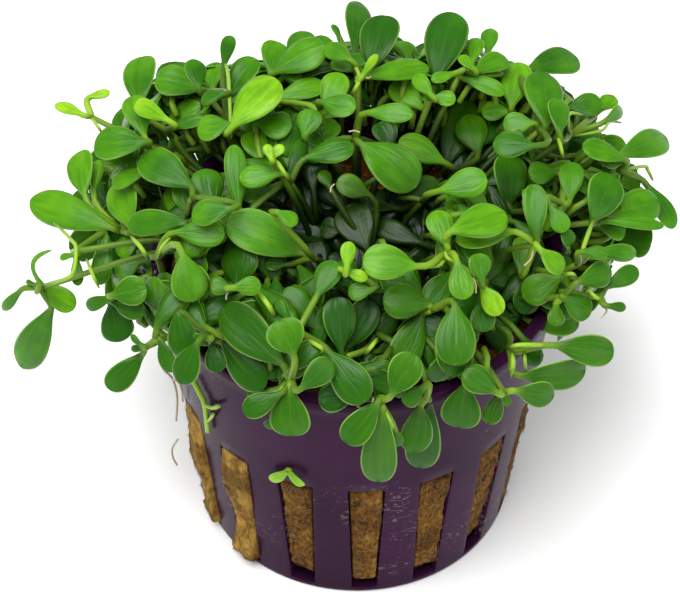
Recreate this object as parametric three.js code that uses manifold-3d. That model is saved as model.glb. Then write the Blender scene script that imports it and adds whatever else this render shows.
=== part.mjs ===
// Potted mud mat: a small creeping water plant growing out of a slotted net pot of mineral wool.
// Millimetres, +Z up, origin at the centre of the pot's underside, seen side facing -Y.

import * as THREE from 'three';
import { mergeVertices } from 'three/addons/utils/BufferGeometryUtils.js';
import Module from 'manifold-3d';

// Net pot
const POT_HEIGHT = 41.8;
const RIM_RADIUS = 25.0;
const WALL_TOP_RADIUS = 24.7;
const BASE_RADIUS = 20.1;
const WALL = 1.2;
const FLOOR = 1.0;
const RIM_BAND = 1.8;
const RIM_STEP = 0.3;
const POT_SIDES = 48;
const SLOT_COUNT = 16;
const SLOT_BOTTOM = 1.1;
const SLOT_TOP = 23.3;
const SLOT_HALF_BOTTOM = 1.6;
const SLOT_HALF_TOP = 2.3;
const SLOT_CUT_INNER = BASE_RADIUS * 0.8;
const SLOT_CUT_OUTER = RIM_RADIUS + 2;
const FRONT_SLOT_TURN = 0.049;

// Mineral wool plug
const GAP = 0.35;
const WOOL_TOP = 39.6;
const WOOL_SIDES = 16;
const WOOL_CORNER = 1 / Math.cos(Math.PI / WOOL_SIDES);
const WOOL_EASE = 0.1;
const WOOL_SHOULDER_DROP = 1.2;
const WOOL_SHOULDER_INSET = 2.05;
const WOOL_SLOT_DEPTH = 0.25;
const WOOL_BULGE = 1.1;
const BULGING_SLOTS = [-3, -2];

// Line of sight: leaves are placed as they are seen along it. u runs to the right and v upwards, both in
// mm on the plane that crosses the pot's axis square to the line of sight, 33.1 mm above the base.
const SIGHT_ELEVATION = THREE.MathUtils.degToRad(46.5);
const SIGHT_DISTANCE = 314.4;
const SIGHT_HEIGHT = 33.1;
const SIGHT_SIDE = -2.12;
const UP = new THREE.Vector3(0, Math.sin(SIGHT_ELEVATION), Math.cos(SIGHT_ELEVATION));
const VIEW = new THREE.Vector3(0, -Math.cos(SIGHT_ELEVATION), Math.sin(SIGHT_ELEVATION));
const EYE = new THREE.Vector3(SIGHT_SIDE, 0, SIGHT_HEIGHT).addScaledVector(VIEW, SIGHT_DISTANCE);

// Cushion that the shoots fill
const CUSHION_CENTRE = new THREE.Vector3(-1, 2, 42);
const CUSHION_RADII = new THREE.Vector3(39, 33, 18);
const FACE_VIEWER = 0.5;
const SWAY = 0.25;

// Leaves: EDGE_ON is the least share of its width that a leaf is taken to show
const LEAF_GAP = 0.9;
const LEAF_KEEL = 0.5;
const LEAF_ARCH = 0.07;
const BLADE_RISE = 0.85;
const BLADE_FALL = 0.5;
const BLADE_WIDEST = BLADE_RISE / (BLADE_RISE + BLADE_FALL);
const MIDDLE = 0.48;
const SHOULDER = 0.84;
const EDGE_ON = 0.7;
const STALK_RADIUS = 0.42;
const NODE_SETBACK = 0.8;
const KNOB = 0.85;
const KNOB_ROLLS = 12;

// Stems, and the way they take over the rim
const STEM_RADIUS = 0.6;
const STEM_STEPS = 3;
const STEM_BOW = 1.5;
const ROOT_SHARE = 0.44;
const ROOT_REACH = 18;
const ROOT_REACHES = [1, 0.75, 1.2, 0.5, 0.25];
const ROOT_TURNS = [0, 0.12, -0.12, 0.25, -0.25, 0.4, -0.4, 0.6, -0.6];
const RIM_INSET = 2;
const RIM_CLEAR = 3;
const LOW_NODE_INSET = 4;
const LOW_NODE_RISE = 8;

// Room between things, and how finely it is looked at
const CLEARANCE = 0.65;
const STEM_SPACE = 2.2;
const STEM_POINTS = 7;
const CROSSING_COST = 3;
const CELL = 0.5;
const SAMPLES_ALONG = 14;
const SAMPLES_ACROSS = 3;
const FINEST = 0.05;
const WELD = 1e-5;
const TOUCH = 1e-6;

// Each shoot: node is where its leaves part, as seen [u, v]. Each leaf: blade base [u, v], tip [u, v],
// width, rank (leaves of a lower rank lie in front), and for a curled leaf the bow to its left.
const SHOOTS = [
  { node: [-32.9, 22.6], leaves: [
    [-33.2, 25.0, -30.6, 25.7, 1.3, 1],
    [-33.9, 22.8, -37.4, 24.2, 1.6, 1],
  ] },
  { node: [-39.1, 1.5], leaves: [
    [-39.2, 2.0, -37.8, 6.1, 0.6, 1, 1.6],
    [-39.8, 1.8, -41.0, 2.3, 0.7, 1],
    [-41.6, 1.2, -43.9, -1.3, 1.4, 1],
    [-38.9, 1.7, -34.9, -1.0, 2.9, 1],
    [-37.9, -1.2, -41.6, -8.5, 4.3, 1.1],
  ] },
  { node: [-34.9, 6.0], leaves: [
    [-35.2, 5.5, -36.8, 5.1, 0.9, 1],
    [-34.8, 5.2, -34.5, 1.7, 1.6, 1],
    [-31.0, 7.8, -31.9, 1.8, 2.7, 1.2],
  ] },
  { node: [-30.4, 0.4], leaves: [
    [-30.2, 0.5, -26.1, 1.5, 3.5, 1],
    [-30.4, 0.2, -33.5, -0.9, 1.7, 1],
    [-30.3, -0.2, -26.3, -1.6, 2.6, 2],
    [-30.4, -0.5, -29.2, -5.2, 4.0, 2.1],
  ] },
  { node: [-29.0, 8.4], leaves: [
    [-28.0, 9.0, -29.5, 14.8, 4.2, 1.2],
    [-30.5, 8.9, -40.5, 12.4, 4.6, 1.3],
    [-27.2, 8.2, -29.6, 5.4, 2.6, 3],
    [-33.7, 13.0, -34.3, 18.4, 3.7, 2],
    [-32.6, 13.4, -32.0, 17.3, 1.8, 2.5],
  ] },
  { node: [-26.2, -5.9], leaves: [
    [-26.7, -5.7, -28.0, -4.4, 0.8, 1],
    [-26.3, -6.0, -28.0, -6.1, 0.9, 1],
    [-26.7, -6.9, -30.8, -11.1, 3.1, 1],
    [-24.3, -5.0, -22.8, -9.0, 2.0, 2],
  ] },
  { node: [-24.8, 5.2], leaves: [
    [-22.3, 8.3, -16.4, 8.0, 3.3, 1.1],
    [-21.6, 5.5, -20.3, -0.3, 4.2, 1],
    [-21.2, 9.5, -28.4, 9.3, 3.3, 1.15],
    [-26.8, 4.6, -30.0, 3.3, 2.6, 2],
  ] },
  { node: [-23.0, 20.2], leaves: [
    [-23.5, 22.2, -27.5, 24.3, 2.3, 1],
    [-22.6, 21.3, -18.9, 22.3, 1.7, 2],
    [-23.4, 22.0, -19.4, 24.2, 2.8, 3],
    [-26.9, 24.0, -26.6, 30.1, 4.4, 2.2],
  ] },
  { node: [-25.8, 18.9], leaves: [
    [-26.3, 19.5, -32.6, 18.9, 4.3, 1],
    [-26.4, 20.4, -27.9, 25.2, 3.4, 2],
    [-26.0, 17.2, -31.7, 17.0, 1.4, 1.4],
    [-26.0, 16.0, -30.4, 14.2, 2.2, 1.1],
  ] },
  { node: [-20.3, 12.6], leaves: [
    [-20.6, 14.0, -26.8, 17.8, 4.5, 1],
    [-18.0, 11.5, -18.9, 16.2, 4.0, 2],
    [-15.7, 11.2, -20.5, 10.3, 3.1, 1],
    [-21.2, 10.8, -22.2, 14.1, 2.0, 2],
  ] },
  { node: [-15.6, 1.3], leaves: [
    [-15.2, 1.5, -11.9, 1.8, 2.2, 1],
    [-15.8, 1.4, -18.2, 1.9, 2.2, 1],
    [-14.8, 1.8, -14.5, 6.5, 4.7, 2],
  ] },
  { node: [-18.0, -4.6], leaves: [
    [-19.8, -5.5, -22.0, -10.4, 3.3, 1],
    [-18.0, -5.6, -17.2, -9.0, 2.5, 2],
    [-16.6, -5.2, -11.6, -11.1, 3.9, 2],
    [-18.6, -4.8, -20.4, -4.4, 0.8, 1],
    [-22.3, -1.6, -21.0, -7.2, 3.7, 1.2],
  ] },
  { node: [-8.2, -10.1], leaves: [
    [-7.9, -6.7, -9.6, -2.5, 4.4, 1],
    [-9.3, -7.9, -16.6, -1.0, 5.0, 1.1],
    [-9.8, -11.8, -14.1, -14.0, 2.8, 1],
    [-8.3, -11.2, -8.0, -16.9, 4.6, 1.1],
    [-10.5, -14.9, -11.2, -15.9, 1.2, 2],
    [-6.8, -10.9, -3.2, -7.6, 3.0, 1],
    [-10.9, -11.3, -13.8, -11.6, 1.7, 2],
  ] },
  { node: [-15.6, 20.0], leaves: [
    [-15.3, 21.5, -9.9, 27.3, 4.8, 1],
    [-15.8, 25.0, -12.6, 29.9, 3.2, 2],
    [-16.5, 29.0, -15.7, 32.7, 1.9, 1],
    [-15.8, 21.6, -19.8, 20.9, 3.2, 1],
  ] },
  { node: [-12.5, 20.3], leaves: [
    [-12.3, 21.8, -8.1, 21.4, 3.6, 2],
    [-12.0, 17.2, -13.2, 20.8, 3.2, 2.2],
  ] },
  { node: [-18.6, 25.4], leaves: [
    [-19.6, 26.2, -20.3, 29.8, 2.7, 2],
    [-19.3, 26.0, -25.0, 27.3, 4.0, 2.1],
    [-17.8, 26.0, -17.6, 29.0, 2.4, 2],
    [-16.7, 25.3, -19.3, 25.0, 2.1, 1.8],
  ] },
  { node: [-10.4, 27.6], leaves: [
    [-10.8, 28.0, -10.0, 32.0, 3.5, 2],
    [-10.0, 28.2, -4.0, 31.6, 4.2, 1.2],
    [-8.5, 30.0, -5.8, 33.1, 3.4, 2],
  ] },
  { node: [0.2, 27.2], leaves: [
    [-0.8, 29.6, -4.0, 31.4, 2.4, 1],
    [0.3, 28.4, -3.3, 29.3, 1.8, 2],
    [0.6, 27.6, 2.5, 30.4, 1.1, 1],
    [0.9, 27.5, 8.9, 28.8, 2.9, 1.1],
    [-2.2, 32.4, -3.0, 34.1, 1.0, 2],
    [1.8, 28.5, 3.5, 35.2, 4.9, 2],
    [-0.3, 30.8, 0.2, 36.9, 3.6, 2.1],
  ] },
  { node: [-4.5, 23.3], leaves: [
    [-4.2, 24.4, -0.2, 23.6, 3.0, 1],
    [-3.8, 23.4, -2.1, 28.1, 3.4, 1.1],
    [-9.8, 24.9, -3.9, 26.6, 2.7, 2],
    [-6.5, 20.2, -5.5, 23.6, 3.0, 1],
  ] },
  { node: [-10.5, 17.3], leaves: [
    [-10.6, 17.4, -11.3, 19.2, 1.2, 1],
    [-10.5, 17.5, -9.2, 19.1, 1.3, 1],
  ] },
  { node: [-8.3, 14.5], leaves: [
    [-9.8, 15.5, -14.6, 15.0, 2.9, 1],
    [-6.2, 17.5, -0.4, 18.9, 3.1, 1],
    [-10.2, 16.0, -14.5, 16.8, 1.8, 2],
    [-10.4, 14.0, -14.2, 12.6, 2.6, 2],
    [-8.4, 15.5, -6.5, 20.0, 1.9, 2],
    [-14.7, 11.4, -15.3, 19.2, 2.7, 1.3],
  ] },
  { node: [9.2, 25.2], leaves: [
    [9.2, 25.2, 7.1, 27.8, 2.0, 1],
    [9.4, 24.9, 12.2, 24.7, 2.0, 1],
    [8.0, 23.7, 4.3, 26.9, 3.4, 3],
    [9.8, 27.2, 11.9, 35.6, 5.3, 2],
  ] },
  { node: [12.8, 28.0], leaves: [
    [11.9, 27.9, 9.2, 27.1, 1.5, 1],
    [14.5, 28.4, 12.6, 30.1, 1.4, 1],
    [14.6, 28.2, 18.5, 29.9, 2.9, 1.1],
    [14.3, 29.4, 14.9, 32.4, 2.2, 2],
    [16.2, 30.6, 16.5, 33.6, 2.3, 2],
    [13.3, 27.3, 18.3, 25.5, 2.1, 1],
  ] },
  { node: [19.2, 23.2], leaves: [[19.1, 23.8, 20.1, 29.4, 4.0, 2], [18.7, 23.2, 15.4, 23.4, 2.7, 2]] },
  { node: [22.6, 21.0], leaves: [
    [23.3, 21.5, 22.9, 28.3, 5.0, 1.1],
    [21.8, 19.0, 16.8, 19.2, 3.2, 1],
    [21.8, 21.8, 18.1, 21.6, 2.8, 1.1],
    [21.2, 28.4, 27.4, 29.8, 4.1, 3],
  ] },
  { node: [26.4, 20.3], leaves: [
    [25.0, 20.6, 24.7, 24.9, 2.7, 1],
    [26.2, 23.6, 30.3, 24.3, 3.0, 2],
    [30.0, 23.4, 31.9, 25.2, 2.3, 2],
    [30.6, 22.0, 32.8, 23.7, 1.7, 1],
  ] },
  { node: [32.4, 15.9], leaves: [
    [32.9, 17.4, 27.9, 19.0, 2.6, 1],
    [32.8, 17.0, 30.3, 17.6, 2.4, 2],
    [32.5, 17.8, 38.4, 20.0, 3.9, 2],
    [36.0, 14.0, 39.2, 8.8, 2.6, 3],
  ] },
  { node: [29.5, 9.6], leaves: [
    [29.2, 9.8, 31.5, 15.5, 4.6, 1],
    [30.6, 9.7, 38.0, 9.1, 1.6, 1.5],
    [31.2, 10.4, 37.4, 12.2, 4.4, 2],
    [29.9, 9.2, 33.2, 8.1, 2.4, 3],
  ] },
  { node: [27.3, 4.4], leaves: [[27.9, 5.9, 31.1, 5.7, 1.7, 1], [29.6, 5.9, 34.6, 5.7, 2.2, 2]] },
  { node: [25.3, 0.3], leaves: [
    [27.4, 2.2, 31.5, 3.7, 3.1, 1],
    [25.6, 0.3, 28.9, -1.9, 3.2, 1],
    [24.6, -0.7, 24.7, -3.3, 2.1, 1],
  ] },
  { node: [30.0, 0.3], leaves: [[31.0, 1.6, 34.8, 3.8, 2.4, 1], [31.0, -0.8, 33.3, -1.0, 1.2, 1]] },
  { node: [22.1, 6.9], leaves: [
    [22.2, 7.8, 21.9, 14.3, 2.9, 1],
    [22.7, 6.1, 25.4, 3.4, 2.4, 1],
    [19.0, 8.4, 12.2, 7.3, 2.8, 2],
    [20.3, 3.2, 20.5, 7.8, 2.4, 2],
  ] },
  { node: [25.4, 11.5], leaves: [
    [23.9, 11.4, 25.8, 8.4, 2.3, 1],
    [26.3, 12.3, 26.6, 17.0, 3.0, 1],
    [25.4, 9.0, 26.4, 6.7, 1.8, 2],
    [24.6, 10.8, 21.2, 14.5, 2.7, 2],
    [24.6, 15.6, 21.2, 15.7, 2.9, 1],
    [18.8, 11.6, 18.7, 18.0, 4.2, 1.2],
  ] },
  { node: [11.1, 5.7], leaves: [
    [11.6, 8.4, 18.5, 10.6, 4.2, 1],
    [11.1, 6.8, 9.7, 11.0, 3.2, 1],
    [7.2, 4.1, 0.7, 4.9, 4.1, 1],
    [7.8, 7.0, 2.1, 9.3, 2.8, 2],
    [12.4, 4.5, 13.2, 0.0, 2.9, 1],
    [11.8, 3.3, 9.0, -1.0, 3.8, 1.1],
  ] },
  { node: [15.4, 2.2], leaves: [
    [15.4, 2.4, 14.9, 5.7, 2.6, 1],
    [15.9, 2.3, 17.5, 5.4, 2.3, 2],
    [15.5, 1.6, 17.7, -1.9, 2.6, 1],
    [15.6, -0.3, 15.4, -4.0, 2.9, 1.1],
  ] },
  { node: [10.8, 15.2], leaves: [
    [15.0, 18.2, 13.6, 22.9, 4.3, 2],
    [10.9, 16.4, 14.0, 24.6, 4.4, 2.1],
    [10.6, 17.0, 5.2, 19.8, 3.5, 2],
  ] },
  { node: [8.1, 12.2], leaves: [
    [10.4, 13.5, 16.1, 15.0, 3.5, 1],
    [5.5, 12.8, 10.1, 14.6, 2.8, 2],
    [4.8, 11.3, 0.6, 12.7, 2.9, 2],
  ] },
  { node: [-0.3, 19.9], leaves: [
    [0.5, 19.2, 7.3, 13.9, 5.3, 1],
    [4.3, 18.8, 2.8, 22.0, 3.0, 3],
    [1.4, 23.1, 6.9, 22.9, 2.4, 1],
    [-5.0, 19.5, -2.4, 21.9, 2.6, 2],
  ] },
  { node: [-1.6, 3.7], leaves: [
    [-1.3, 4.0, -1.0, 7.2, 1.8, 1],
    [-1.4, 3.5, 1.3, 2.6, 1.4, 1],
    [1.8, 1.2, -1.1, 0.7, 2.0, 1],
    [-1.7, 4.5, -3.5, 5.3, 1.9, 2],
  ] },
  { node: [-7.3, -3.9], leaves: [[-4.9, 0.6, -2.7, 4.8, 3.0, 1], [-3.3, -6.7, 1.1, -12.7, 4.4, 1]] },
  { node: [-5.5, 5.1], leaves: [
    [-6.8, 5.7, -16.1, 9.7, 5.0, 1.2],
    [-9.9, 10.8, -7.4, 9.4, 1.8, 1],
    [-8.9, 4.3, -11.4, 4.4, 1.7, 2],
  ] },
  { node: [1.5, 5.5], leaves: [
    [1.2, 6.4, -1.2, 11.7, 4.8, 1.2],
    [-1.8, 8.6, -4.5, 8.9, 2.8, 2],
    [1.5, 12.9, -2.5, 14.7, 2.8, 1],
    [-3.4, 13.9, -4.4, 16.0, 1.8, 1],
  ] },
  { node: [9.3, -1.2], leaves: [
    [8.8, -0.7, 3.2, 0.2, 4.2, 1],
    [12.1, -0.8, 12.2, -8.2, 4.7, 1],
    [8.0, -2.0, 4.9, -8.6, 3.9, 2],
  ] },
  { node: [21.9, 3.7], leaves: [
    [25.1, 2.7, 20.5, 0.3, 3.7, 1],
    [21.9, 3.4, 20.4, -1.8, 3.3, 2],
    [21.5, -2.8, 27.5, -3.0, 3.0, 2],
  ] },
  { node: [18.8, -6.4], leaves: [
    [24.8, -5.7, 31.8, -6.6, 3.7, 1],
    [20.3, -9.4, 28.3, -8.8, 3.6, 1.2],
    [18.5, -6.7, 16.5, -2.0, 3.4, 2],
    [17.4, -7.6, 17.2, -10.1, 2.9, 2],
  ] },
  { node: [18.1, -11.4], leaves: [
    [17.1, -11.4, 13.2, -8.8, 3.3, 1],
    [19.7, -11.3, 24.4, -11.9, 3.1, 1],
    [18.0, -11.8, 18.9, -13.1, 1.0, 1],
    [17.6, -11.8, 16.2, -15.4, 2.4, 2],
    [13.4, -10.6, 12.6, -15.9, 4.7, 1.1],
  ] },
  { node: [2.6, -12.2], leaves: [
    [4.4, -11.6, 7.0, -6.7, 3.9, 1],
    [2.5, -12.8, -1.5, -17.7, 3.5, 1],
    [3.2, -13.6, 2.6, -22.6, 4.2, 1],
    [4.7, -16.2, 5.2, -18.2, 1.4, 1],
    [-0.5, -12.2, -4.8, -12.0, 3.6, 2],
  ] },
  { node: [-1.6, -7.2], leaves: [
    [-2.0, -6.2, -2.5, 0.3, 3.8, 1.1],
    [-1.2, -5.9, 1.8, -0.1, 3.8, 2],
    [1.7, -5.6, 4.8, -1.6, 2.5, 2],
    [2.3, -8.5, 4.1, -7.8, 1.0, 1],
  ] },
  { node: [8.7, -12.0], leaves: [
    [8.1, -10.9, 5.8, -13.0, 2.2, 1],
    [7.8, -13.3, 7.0, -19.0, 3.9, 1],
    [9.0, -12.9, 7.8, -20.9, 4.2, 2],
  ] },
];

// Shoots round the back, where the leaves are spread by a rule: turn of each node round the axis
// (degrees, 90 = straight back), its distance from the axis and its height
const BACK_SHOOTS = [
  [15, 31, 38], [38, 33, 38], [60, 33, 37], [80, 33, 36],
  [100, 33, 37], [120, 33, 36], [142, 32, 38], [166, 30, 38],
];
const BACK_LEAVES = 5;
const BACK_LEAF_TURN = 1.15;
const BACK_LEAF_UNEVEN = 0.25;
const BACK_LEAF_LENGTH = 8.6;
const BACK_LEAF_SHORTER = 0.3;
const BACK_LEAF_WIDTH = 4.4;
const BACK_STALK = 2.5;
const BACK_LEAF_LIFT = 0.15;

const LEAF_GREEN = 0x5fa321;
const DEEP_GREEN = 0x3f7f1a;

const wasm = await Module();
wasm.setup();

// A closed geometry as a solid, without the triangles that have shrunk to a line
function solid(geometry) {
  const bare = geometry.clone();
  bare.deleteAttribute('normal');
  bare.deleteAttribute('uv');
  const merged = mergeVertices(bare, WELD);
  const corners = merged.index.array;
  const kept = [];
  for (let i = 0; i < corners.length; i += 3) {
    const face = corners.slice(i, i + 3);
    if (new Set(face).size === 3) kept.push(...face);
  }
  return new wasm.Manifold(new wasm.Mesh({
    numProp: 3,
    vertProperties: Float32Array.from(merged.attributes.position.array),
    triVerts: Uint32Array.from(kept),
  }));
}

function outward(geometry) {
  const made = solid(geometry);
  if (made.volume() > 0) return made;
  const index = geometry.index.array;
  for (let i = 0; i < index.length; i += 3) [index[i], index[i + 1]] = [index[i + 1], index[i]];
  return solid(geometry);
}

function toGeometry(manifold) {
  const mesh = manifold.getMesh();
  const geometry = new THREE.BufferGeometry();
  geometry.setAttribute('position', new THREE.BufferAttribute(mesh.vertProperties, 3));
  geometry.setIndex(new THREE.BufferAttribute(mesh.triVerts, 1));
  geometry.computeVertexNormals();
  return geometry;
}

// A turned body about Z from [radius, height] points, with a flat side centred on the front slot
function turned(profile, sides) {
  const points = profile.map(([r, z]) => new THREE.Vector2(r, z));
  const geometry = new THREE.LatheGeometry(points, sides);
  geometry.rotateX(Math.PI / 2);
  geometry.rotateZ(FRONT_SLOT_TURN + Math.PI / sides);
  return outward(geometry.index ? geometry : mergeVertices(geometry));
}

const wallRadius = (z) => BASE_RADIUS + (WALL_TOP_RADIUS - BASE_RADIUS) * z / POT_HEIGHT;

// A wedge standing in slot number k, narrower than the slot by `inset` at each side
function slotWedge(k, inset, bottom, top) {
  const at = (z) => {
    const share = (z - SLOT_BOTTOM) / (SLOT_TOP - SLOT_BOTTOM);
    return SLOT_HALF_BOTTOM + (SLOT_HALF_TOP - SLOT_HALF_BOTTOM) * share - inset;
  };
  const shape = new THREE.Shape([
    new THREE.Vector2(-at(bottom), bottom),
    new THREE.Vector2(at(bottom), bottom),
    new THREE.Vector2(at(top), top),
    new THREE.Vector2(-at(top), top),
  ]);
  const depth = SLOT_CUT_OUTER - SLOT_CUT_INNER;
  const geometry = new THREE.ExtrudeGeometry(shape, { depth, bevelEnabled: false });
  geometry.rotateX(Math.PI / 2);
  geometry.translate(0, -SLOT_CUT_INNER, 0);
  geometry.rotateZ(FRONT_SLOT_TURN + k * 2 * Math.PI / SLOT_COUNT);
  return outward(mergeVertices(geometry));
}

function makePot() {
  const innerTop = WALL_TOP_RADIUS - WALL;
  const innerBase = BASE_RADIUS - WALL;
  let pot = turned([
    [0, 0],
    [BASE_RADIUS, 0],
    [wallRadius(POT_HEIGHT - RIM_BAND), POT_HEIGHT - RIM_BAND],
    [RIM_RADIUS, POT_HEIGHT - RIM_BAND + RIM_STEP],
    [RIM_RADIUS, POT_HEIGHT],
    [innerTop, POT_HEIGHT],
    [innerBase, FLOOR],
    [0, FLOOR],
  ], POT_SIDES);
  for (let k = 0; k < SLOT_COUNT; k++) {
    pot = pot.subtract(slotWedge(k, 0, SLOT_BOTTOM, SLOT_TOP));
  }
  return pot;
}

function makeWool() {
  const inside = WALL + GAP + WOOL_EASE;
  const plug = turned([
    [0, FLOOR + GAP],
    [BASE_RADIUS - inside, FLOOR + GAP],
    [wallRadius(WOOL_TOP) - inside, WOOL_TOP - WOOL_SHOULDER_DROP],
    [wallRadius(WOOL_TOP) - inside - WOOL_SHOULDER_INSET, WOOL_TOP],
    [0, WOOL_TOP],
  ], WOOL_SIDES);
  const skin = (out) => turned([
    [0, 0],
    [(wallRadius(0) + out) * WOOL_CORNER, 0],
    [(wallRadius(POT_HEIGHT) + out) * WOOL_CORNER, POT_HEIGHT],
    [0, POT_HEIGHT],
  ], WOOL_SIDES);
  const flush = skin(-WOOL_SLOT_DEPTH);
  const bulged = skin(WOOL_BULGE);
  let wool = plug;
  for (let k = 0; k < SLOT_COUNT; k++) {
    const turn = k > SLOT_COUNT / 2 ? k - SLOT_COUNT : k;
    const face = BULGING_SLOTS.includes(turn) ? bulged : flush;
    const rib = slotWedge(k, GAP, SLOT_BOTTOM + GAP, SLOT_TOP - GAP);
    wool = wool.add(rib.intersect(face));
  }
  return wool;
}

// The point seen at [u, v], `depth` mm nearer to the eye than the sight plane
function seen(u, v, depth) {
  const plane = new THREE.Vector3(u, 0, SIGHT_HEIGHT).addScaledVector(UP, v);
  return plane.lerp(EYE, depth / SIGHT_DISTANCE);
}

// The same the other way round: where a point is seen, and its depth
function sighted(point) {
  const away = point.clone().sub(EYE);
  const depth = SIGHT_DISTANCE + away.dot(VIEW);
  const scale = SIGHT_DISTANCE / (SIGHT_DISTANCE - depth);
  return [away.x * scale + SIGHT_SIDE, away.dot(UP) * scale, depth];
}

// Depth at which the line of sight through [u, v] meets the cushion, or passes nearest to its centre
function cushionDepth(u, v) {
  const start = seen(u, v, 0).sub(CUSHION_CENTRE).divide(CUSHION_RADII);
  const step = seen(u, v, 1).sub(seen(u, v, 0)).divide(CUSHION_RADII);
  const a = step.dot(step);
  const b = start.dot(step);
  const c = start.dot(start) - 1;
  return (-b + Math.sqrt(Math.max(b * b - a * c, 0))) / a;
}

function cushionNormal(point) {
  return point.clone().sub(CUSHION_CENTRE).divide(CUSHION_RADII).divide(CUSHION_RADII).normalize();
}

// The blade of a leaf: its base and tip, the direction across it, its half width, and its face
function frontBlade([bu, bv, tu, tv, width, , bow = 0]) {
  const mu = (bu + tu) / 2;
  const mv = (bv + tv) / 2;
  const centre = seen(mu, mv, cushionDepth(mu, mv));
  const face = cushionNormal(centre).multiplyScalar(1 - FACE_VIEWER).addScaledVector(VIEW, FACE_VIEWER);
  face.x += SWAY * Math.sin(1.7 * bu + 2.3 * bv);
  face.z += SWAY * Math.sin(2.1 * bu - 1.3 * bv);
  face.normalize();
  const onPlane = (u, v) => {
    const start = seen(u, v, 0);
    const step = seen(u, v, 1).sub(start);
    return start.addScaledVector(step, centre.clone().sub(start).dot(face) / step.dot(face));
  };
  const base = onPlane(bu, bv);
  const tip = onPlane(tu, tv);
  const across = face.clone().cross(tip.clone().sub(base)).normalize();
  const shown = across.clone().addScaledVector(VIEW, -across.dot(VIEW)).length();
  return { base, tip, across, face, half: width / 2 / Math.max(shown, EDGE_ON), bow };
}

// The same for a leaf round the back: leaves stand round their node, those that point up being shorter
function backBlade(node, number) {
  const out = cushionNormal(node);
  const east = new THREE.Vector3(0, 0, 1).cross(out).normalize();
  const north = out.clone().cross(east);
  const uneven = Math.sin(3.1 * node.x + 2 * number);
  const turn = (number - (BACK_LEAVES - 1) / 2) * BACK_LEAF_TURN + BACK_LEAF_UNEVEN * uneven;
  const along = north.clone().multiplyScalar(Math.cos(turn)).addScaledVector(east, Math.sin(turn));
  along.addScaledVector(out, BACK_LEAF_LIFT).normalize();
  const across = out.clone().cross(along).normalize();
  const face = along.clone().cross(across);
  const length = BACK_LEAF_LENGTH * (1 - BACK_LEAF_SHORTER * Math.max(Math.cos(turn), 0));
  const base = node.clone().addScaledVector(along, BACK_STALK);
  const tip = base.clone().addScaledVector(along, length);
  return { base, tip, across, face, half: BACK_LEAF_WIDTH / 2, bow: 0 };
}

// Half width of a spoon-shaped blade at share s of its length, as a share of its widest: it widens from its
// stalk and is blunt at its tip
const spoon = (s) => (s / BLADE_WIDEST) ** BLADE_RISE * ((1 - s) / (1 - BLADE_WIDEST)) ** BLADE_FALL;

function bladePoint(blade, s, q) {
  const length = blade.base.distanceTo(blade.tip);
  const hump = 4 * s * (1 - s);
  return blade.base.clone().lerp(blade.tip, s)
    .addScaledVector(blade.face, LEAF_ARCH * length * hump)
    .addScaledVector(blade.across, blade.bow * hump + q * blade.half * spoon(s));
}

// Slides each blade back along the line of sight until it clears every blade in front of it
const nearest = new Map();
const cellKey = (u, v) => `${Math.round(u / CELL)},${Math.round(v / CELL)}`;

function settle(blade) {
  const samples = [];
  for (let i = 0; i <= SAMPLES_ALONG; i++) {
    for (let j = -SAMPLES_ACROSS; j <= SAMPLES_ACROSS; j++) {
      samples.push(sighted(bladePoint(blade, i / SAMPLES_ALONG, j / SAMPLES_ACROSS)));
    }
  }
  const cells = samples.flatMap(([u, v, depth]) => {
    const around = [];
    for (const du of [-CELL, 0, CELL]) {
      for (const dv of [-CELL, 0, CELL]) around.push([cellKey(u + du, v + dv), depth]);
    }
    return around;
  });
  let slide = 0;
  for (const [key, depth] of cells) {
    if (nearest.has(key)) slide = Math.min(slide, nearest.get(key) - LEAF_GAP - depth);
  }
  for (const [key, depth] of cells) {
    nearest.set(key, Math.min(nearest.get(key) ?? Infinity, depth + slide));
  }
  const shift = (point) => {
    const [u, v, depth] = sighted(point);
    return seen(u, v, depth + slide);
  };
  blade.base = shift(blade.base);
  blade.tip = shift(blade.tip);
}

// Three corners round a point of a limb: left edge, right edge and keel, anticlockwise seen from ahead
function ring(at, heading, across, half, keel) {
  const side = across.clone().addScaledVector(heading, -across.dot(heading)).normalize();
  const under = side.clone().cross(heading).normalize();
  return [
    at.clone().addScaledVector(side, half),
    at.clone().addScaledVector(side, -half),
    at.clone().addScaledVector(under, keel),
  ];
}

// The rings of a leaf's stalk and blade, and its tip
function leafLimb(node, blade) {
  const along = blade.tip.clone().sub(blade.base).normalize();
  const toward = blade.base.clone().sub(node).normalize();
  const bend = toward.clone().add(along).normalize();
  const bladeRing = (s, keel) => (
    ring(bladePoint(blade, s, 0), along, blade.across, blade.half * spoon(s), keel)
  );
  return {
    toward,
    rings: [
      ring(blade.base, bend, blade.across, STALK_RADIUS, STALK_RADIUS),
      bladeRing(MIDDLE, LEAF_KEEL),
      bladeRing(SHOULDER, LEAF_KEEL * SHOULDER),
    ],
    tip: bladePoint(blade, 1, 0),
  };
}

// The rings of a stem on its way down, and the point it ends in
function stemLimb(path) {
  const down = [...path].reverse();
  const rings = down.slice(1, -1).map((at, i) => {
    const heading = down[i + 2].clone().sub(down[i]).normalize();
    const level = new THREE.Vector3(0, 0, 1).cross(heading).normalize();
    return ring(at, heading, level, STEM_RADIUS, STEM_RADIUS);
  });
  return { toward: down[1].clone().sub(down[0]).normalize(), rings, tip: down.at(-1) };
}

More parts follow.
